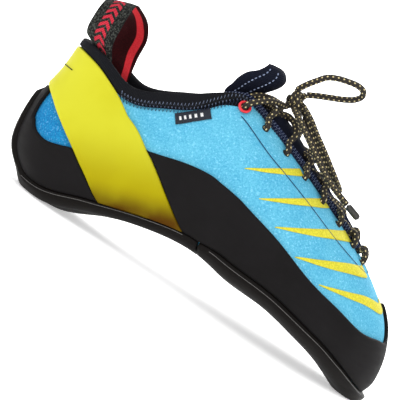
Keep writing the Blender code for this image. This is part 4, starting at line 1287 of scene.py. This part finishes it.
def lace_half(first):
    """One half of the lace, from a lowest eyelet through every second one up to the knot."""
    last = len(EYELETS) - 1
    sign = first
    points = [on_last(sign * eyelet_round(last), EYELET_LEVEL, LACE_UNDER)]
    for i in range(last, 0, -1):
        points.append(on_last(sign * eyelet_round(i), EYELET_LEVEL, SEAT_SHARE * LACE_OVER))
        points += crossing(i, sign, first)
        sign = -sign
    here, lift = sign * eyelet_round(0), LACE_OVER + EYELET_RIM + FIT
    points.append(on_last(here, EYELET_LEVEL, SEAT_SHARE * lift))
    points.append(on_last(here + 0.025 * sign, 1.0, 0.9 * lift) + TOP_STRAND_RISE * THROAT_UP)
    points.append(knot_seat(RISE_SEATS[sign]))
    return cord_tube("strand", smooth_route(points, LACE_STEP))


def add_laces():
    strands = [lace_half(first) for first in (-1, 1)]
    dress(joined("lace_crossings", strands), "lace_bars", slot="lace_cord")


def cord_tube(name, path, thickness=1.0):
    return tube(name, path, LACE / 2 * thickness, LACE_SIDES, M["lace"])


def knot_seat(direction):
    """Where a cord that leaves the knot in a direction starts, just off it."""
    way = unit(np.array(direction))
    reach = 1 / np.linalg.norm(way / KNOT_RADII) + KNOT_CLEARANCE
    return KNOT_CENTRE + reach * way


def add_knot():
    """The bow's knot: lace wound round itself, with a stub to each cord that leaves it."""
    turn = turns(119)
    _, wide, high = KNOT_RADII
    wraps = []
    for tilt, shift, size in KNOT_WRAPS:
        y = 0.92 * size * wide * np.cos(turn)
        z = 0.92 * size * high * np.sin(turn)
        x = shift + 0.0012 * np.sin(2 * turn) + tilt * z
        path = KNOT_CENTRE + np.stack([x, y, z], axis=1)
        wraps.append(cord_tube("wrap", np.concatenate([path, path[:1]]), 0.95))
    along = np.linspace(-1, 1, 16)
    core = np.stack([along * KNOT_CORE, 0.0004 * np.sin(9 * along), -0.0006 + 0 * along], axis=1)
    wraps.append(cord_tube("core", KNOT_CENTRE + core, 1.15))
    seats = [seat for _, _, leave, back in LACE_PIECES for seat in (leave, back) if seat]
    for seat in seats + list(RISE_SEATS.values()):
        shares = np.linspace(0.15, 0.97, 10)[:, None]
        wraps.append(cord_tube("stub", KNOT_CENTRE + shares * (knot_seat(seat) - KNOT_CENTRE)))
    dress(joined("bow_knot", wraps), "lace_knot", slot="lace_cord")


def add_aglet(side, route):
    """The film tip past a lace end."""
    way = unit(route[-1] - route[-2])
    shares = np.linspace(0, 1, 14)
    radii = AGLET / 2 * np.sqrt(1 - np.clip(np.abs(shares * 2 - 1), 0, 0.995) ** 8)
    line = route[-1] + FIT * way + shares[:, None] * AGLET_LENGTH * way
    tip = tube("tip_" + side, line, radii, 16, M["aglet"])
    dress(tip, "aglet_" + side, slot="woven_tag")
    return tip


def add_bow():
    """The bow's two loops and the lace's two ends, each as a cord of its own."""
    for name, rows, leave, back in LACE_PIECES:
        points = [knot_seat(leave)] + list(np.array(rows) * LACE_SCALE)
        if back:
            points.append(knot_seat(back))
        route = smooth_route(points, LACE_STEP)
        cord = cord_tube(name.replace("lace", "bow"), route)
        pieces = [] if back else [add_aglet(name.replace("lace_end_", ""), route)]
        dress(cord, name, slot="lace_cord")


def ribbon(name, line, half, lift, material, columns=3):
    """A thin strip that follows a line of places on the last."""
    points = on_last(line[:, 0], line[:, 1], lift)
    normal = unit(points - on_last(line[:, 0], line[:, 1], lift - STEP))
    side = unit(np.cross(normal, np.gradient(points, axis=0)))
    shares = np.linspace(-1, 1, columns)
    half = np.broadcast_to(np.asarray(half, float), len(points))
    grid = points[:, None, :] + side[:, None, :] * (half[:, None] * shares)[..., None]
    under = (grid - normal[:, None, :] * 0.0001)[:, ::-1]
    return swept(name, np.concatenate([grid, under], axis=1), [material])


def add_bars():
    """Plain tapered bars printed on both sides, from a fine tip up to the throat."""
    bars = []
    taper = np.sin(np.linspace(0.01, 0.5, 50) * math.pi) ** 0.8
    for tip_x, tip_z, base_x, base_z, width in BARS:
        rows = [(tip_x + (base_x - tip_x) * s, tip_z + (base_z - tip_z) * s) for s in np.linspace(0, 1, 5)]
        for sign in (-1, 1):
            line = dense(seen_line(rows, sign), 50)
            bars.append(ribbon("bar", line, width / 2 * taper, PRINT_LIFT, M["bar"], 5))
    dress(joined("printed_bars", bars), slot="blue_upper")


def add_seams():
    """Painted shadows: a dark strip in the seam beside the eyelets on both sides, and one in the slit in
    the strap.
    """
    seams = [ribbon("seam", dense(seen_line(SEAM_LINE, sign), 90), SEAM_HALF, SEAM_LIFT, M["seam"])
             for sign in (-1, 1)]
    dress(joined("eyestay_seam_shadow", seams), slot="blue_upper")
    slit = ribbon("slit", dense(seen_line(SLIT_LINE, -1), 12), SLIT_HALF,
                  PANEL_FIT + STRAP_WALL + PRINT_LIFT, M["slit"])
    dress(joined("strap_slit_shadow", [slit]), slot="yellow_rubber")


def sampled(points, travel, at):
    """The points of a path at some of its lengths."""
    return np.stack([np.interp(at, travel, points[:, k]) for k in range(3)], axis=1)


def zigzag(low, high, pitch, radius, material):
    """A zigzag thread between two lines of points in space."""
    middle = (low + high) / 2
    travel = lengths_along(middle)
    count = int(travel[-1] / pitch) * 2
    at = np.linspace(0, travel[-1], count)
    even = (np.arange(count) % 2 == 0)[:, None]
    return tube("zigzag", np.where(even, sampled(low, travel, at), sampled(high, travel, at)),
                radius, 4, material)


def dashes(points, radius):
    """A row of short stitches along a line of points in space."""
    travel = lengths_along(points)
    pieces = []
    for start in np.arange(0, travel[-1] - STITCH_PITCH, STITCH_PITCH):
        line = sampled(points, travel, np.linspace(start, start + STITCH_LENGTH, 4))
        pieces.append(tube("stitch", line, radius * np.array((0.5, 1, 1, 0.5)), 6, M["pale_thread"]))
    return joined("row", pieces)


def add_stitches(lines, tongue):
    """Zigzags along the cuff and the throat, and rows inside the cuff and on the tongue."""
    full = PANEL_FIT + CUFF_WALL
    pale, navy = [], []
    rounds = np.linspace(-CUFF_TAIL, CUFF_TAIL, 500)
    low = cuff_low(rounds, lines)
    shown = level_on(lines[1], rounds) < CUFF_LEVEL - 0.02
    for part_of in (rounds < 0, rounds > 0):
        keep = shown & part_of
        around, edge = rounds[keep], low[keep]
        pale.append(zigzag(on_last(around, edge - 0.006, full * 0.7),
                           on_last(around, np.minimum(edge + 0.034, 0.998), full + 0.0002),
                           ZIGZAG_PITCH, PALE_THREAD, M["pale_thread"]))
        navy.append(zigzag(on_last(around, edge - 0.032, 0.0003), on_last(around, edge + 0.001, full * 0.5),
                           ZIGZAG_PITCH, NAVY_THREAD, M["navy_thread"]))
        pale.append(dashes(on_last(around, 0.925, -UPPER_WALL - CUFF_LINING - 0.0001), 0.0003))
    throat = np.linspace(CUFF_END + 0.005, 0.86, 300)
    for sign in (-1, 1):
        navy.append(zigzag(on_last(sign * throat, 0.985, 0.0003), on_last(sign * throat, 0.999, 0.0004),
                           THROAT_PITCH, THREAD / 2, M["navy_thread"]))
    for column in TONGUE_STITCH_COLUMNS:
        pale.append(dashes(tongue[TONGUE_STITCH_ROWS, column], 0.0004))
    dress(joined("pale_stitches", pale), slot="black_knit")
    dress(joined("navy_stitches", navy), slot="navy_tongue")


def band_point(rounds, away, rise):
    """Points beyond the throat's edge, by a rise straight up from its line."""
    return rim_point(rounds, away, np.zeros(len(rounds))) + rise * THROAT_UP


def add_binding():
    """The navy knit edge that stands out of the throat on both sides."""
    pieces = []
    for sign in (-1, 1):
        rounds = sign * np.linspace(*BINDING_ROUNDS, 160)
        columns = [band_point(rounds, away, rise) for away, rise in BINDING_SECTION]
        pieces.append(swept("edge", np.stack(columns, axis=1), [M["binding"]]))
        pieces.append(zigzag(band_point(rounds, -0.00005, 0.0004), band_point(rounds, -0.0004, 0.0036),
                             BINDING_PITCH, BINDING_THREAD, M["pale_thread"]))
    dress(joined("throat_binding", pieces), slot="navy_tongue")


def add_tag():
    """A small plain woven tag sewn under the cuff."""
    line = dense(seen_line(TAG_LINE, -1), 60)
    pieces = [ribbon("side_tag", line, TAG_HALF, TAG_LIFT, M["tag_dark"], 6)]
    for first in range(8, 50, 9):
        mark = line[first:first + 5]
        pieces.append(ribbon("tag_mark", mark, 0.34 * TAG_HALF, TAG_MARK_LIFT, M["tag_pale"]))
    dress(joined("side_tag", pieces), slot="woven_tag")


def finish_insole():
    """The insole stays as its solid, in its own fabric."""
    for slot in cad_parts["insole"].material_slots:
        slot.material = M["insole"]


add_camera()
add_bow()
add_knot()
add_laces()
add_stage()
LINES = strap_lines()
add_upper()
add_strap(LINES)
add_heel_rands(LINES)
add_front_rand(LINES)
add_soles()
add_sole_lines()
add_cuff(LINES)
TONGUE = add_tongue()
add_pull_loop()
add_eyelets()
add_binding()
add_bars()
add_seams()
add_stitches(LINES, TONGUE)
add_tag()
finish_insole()
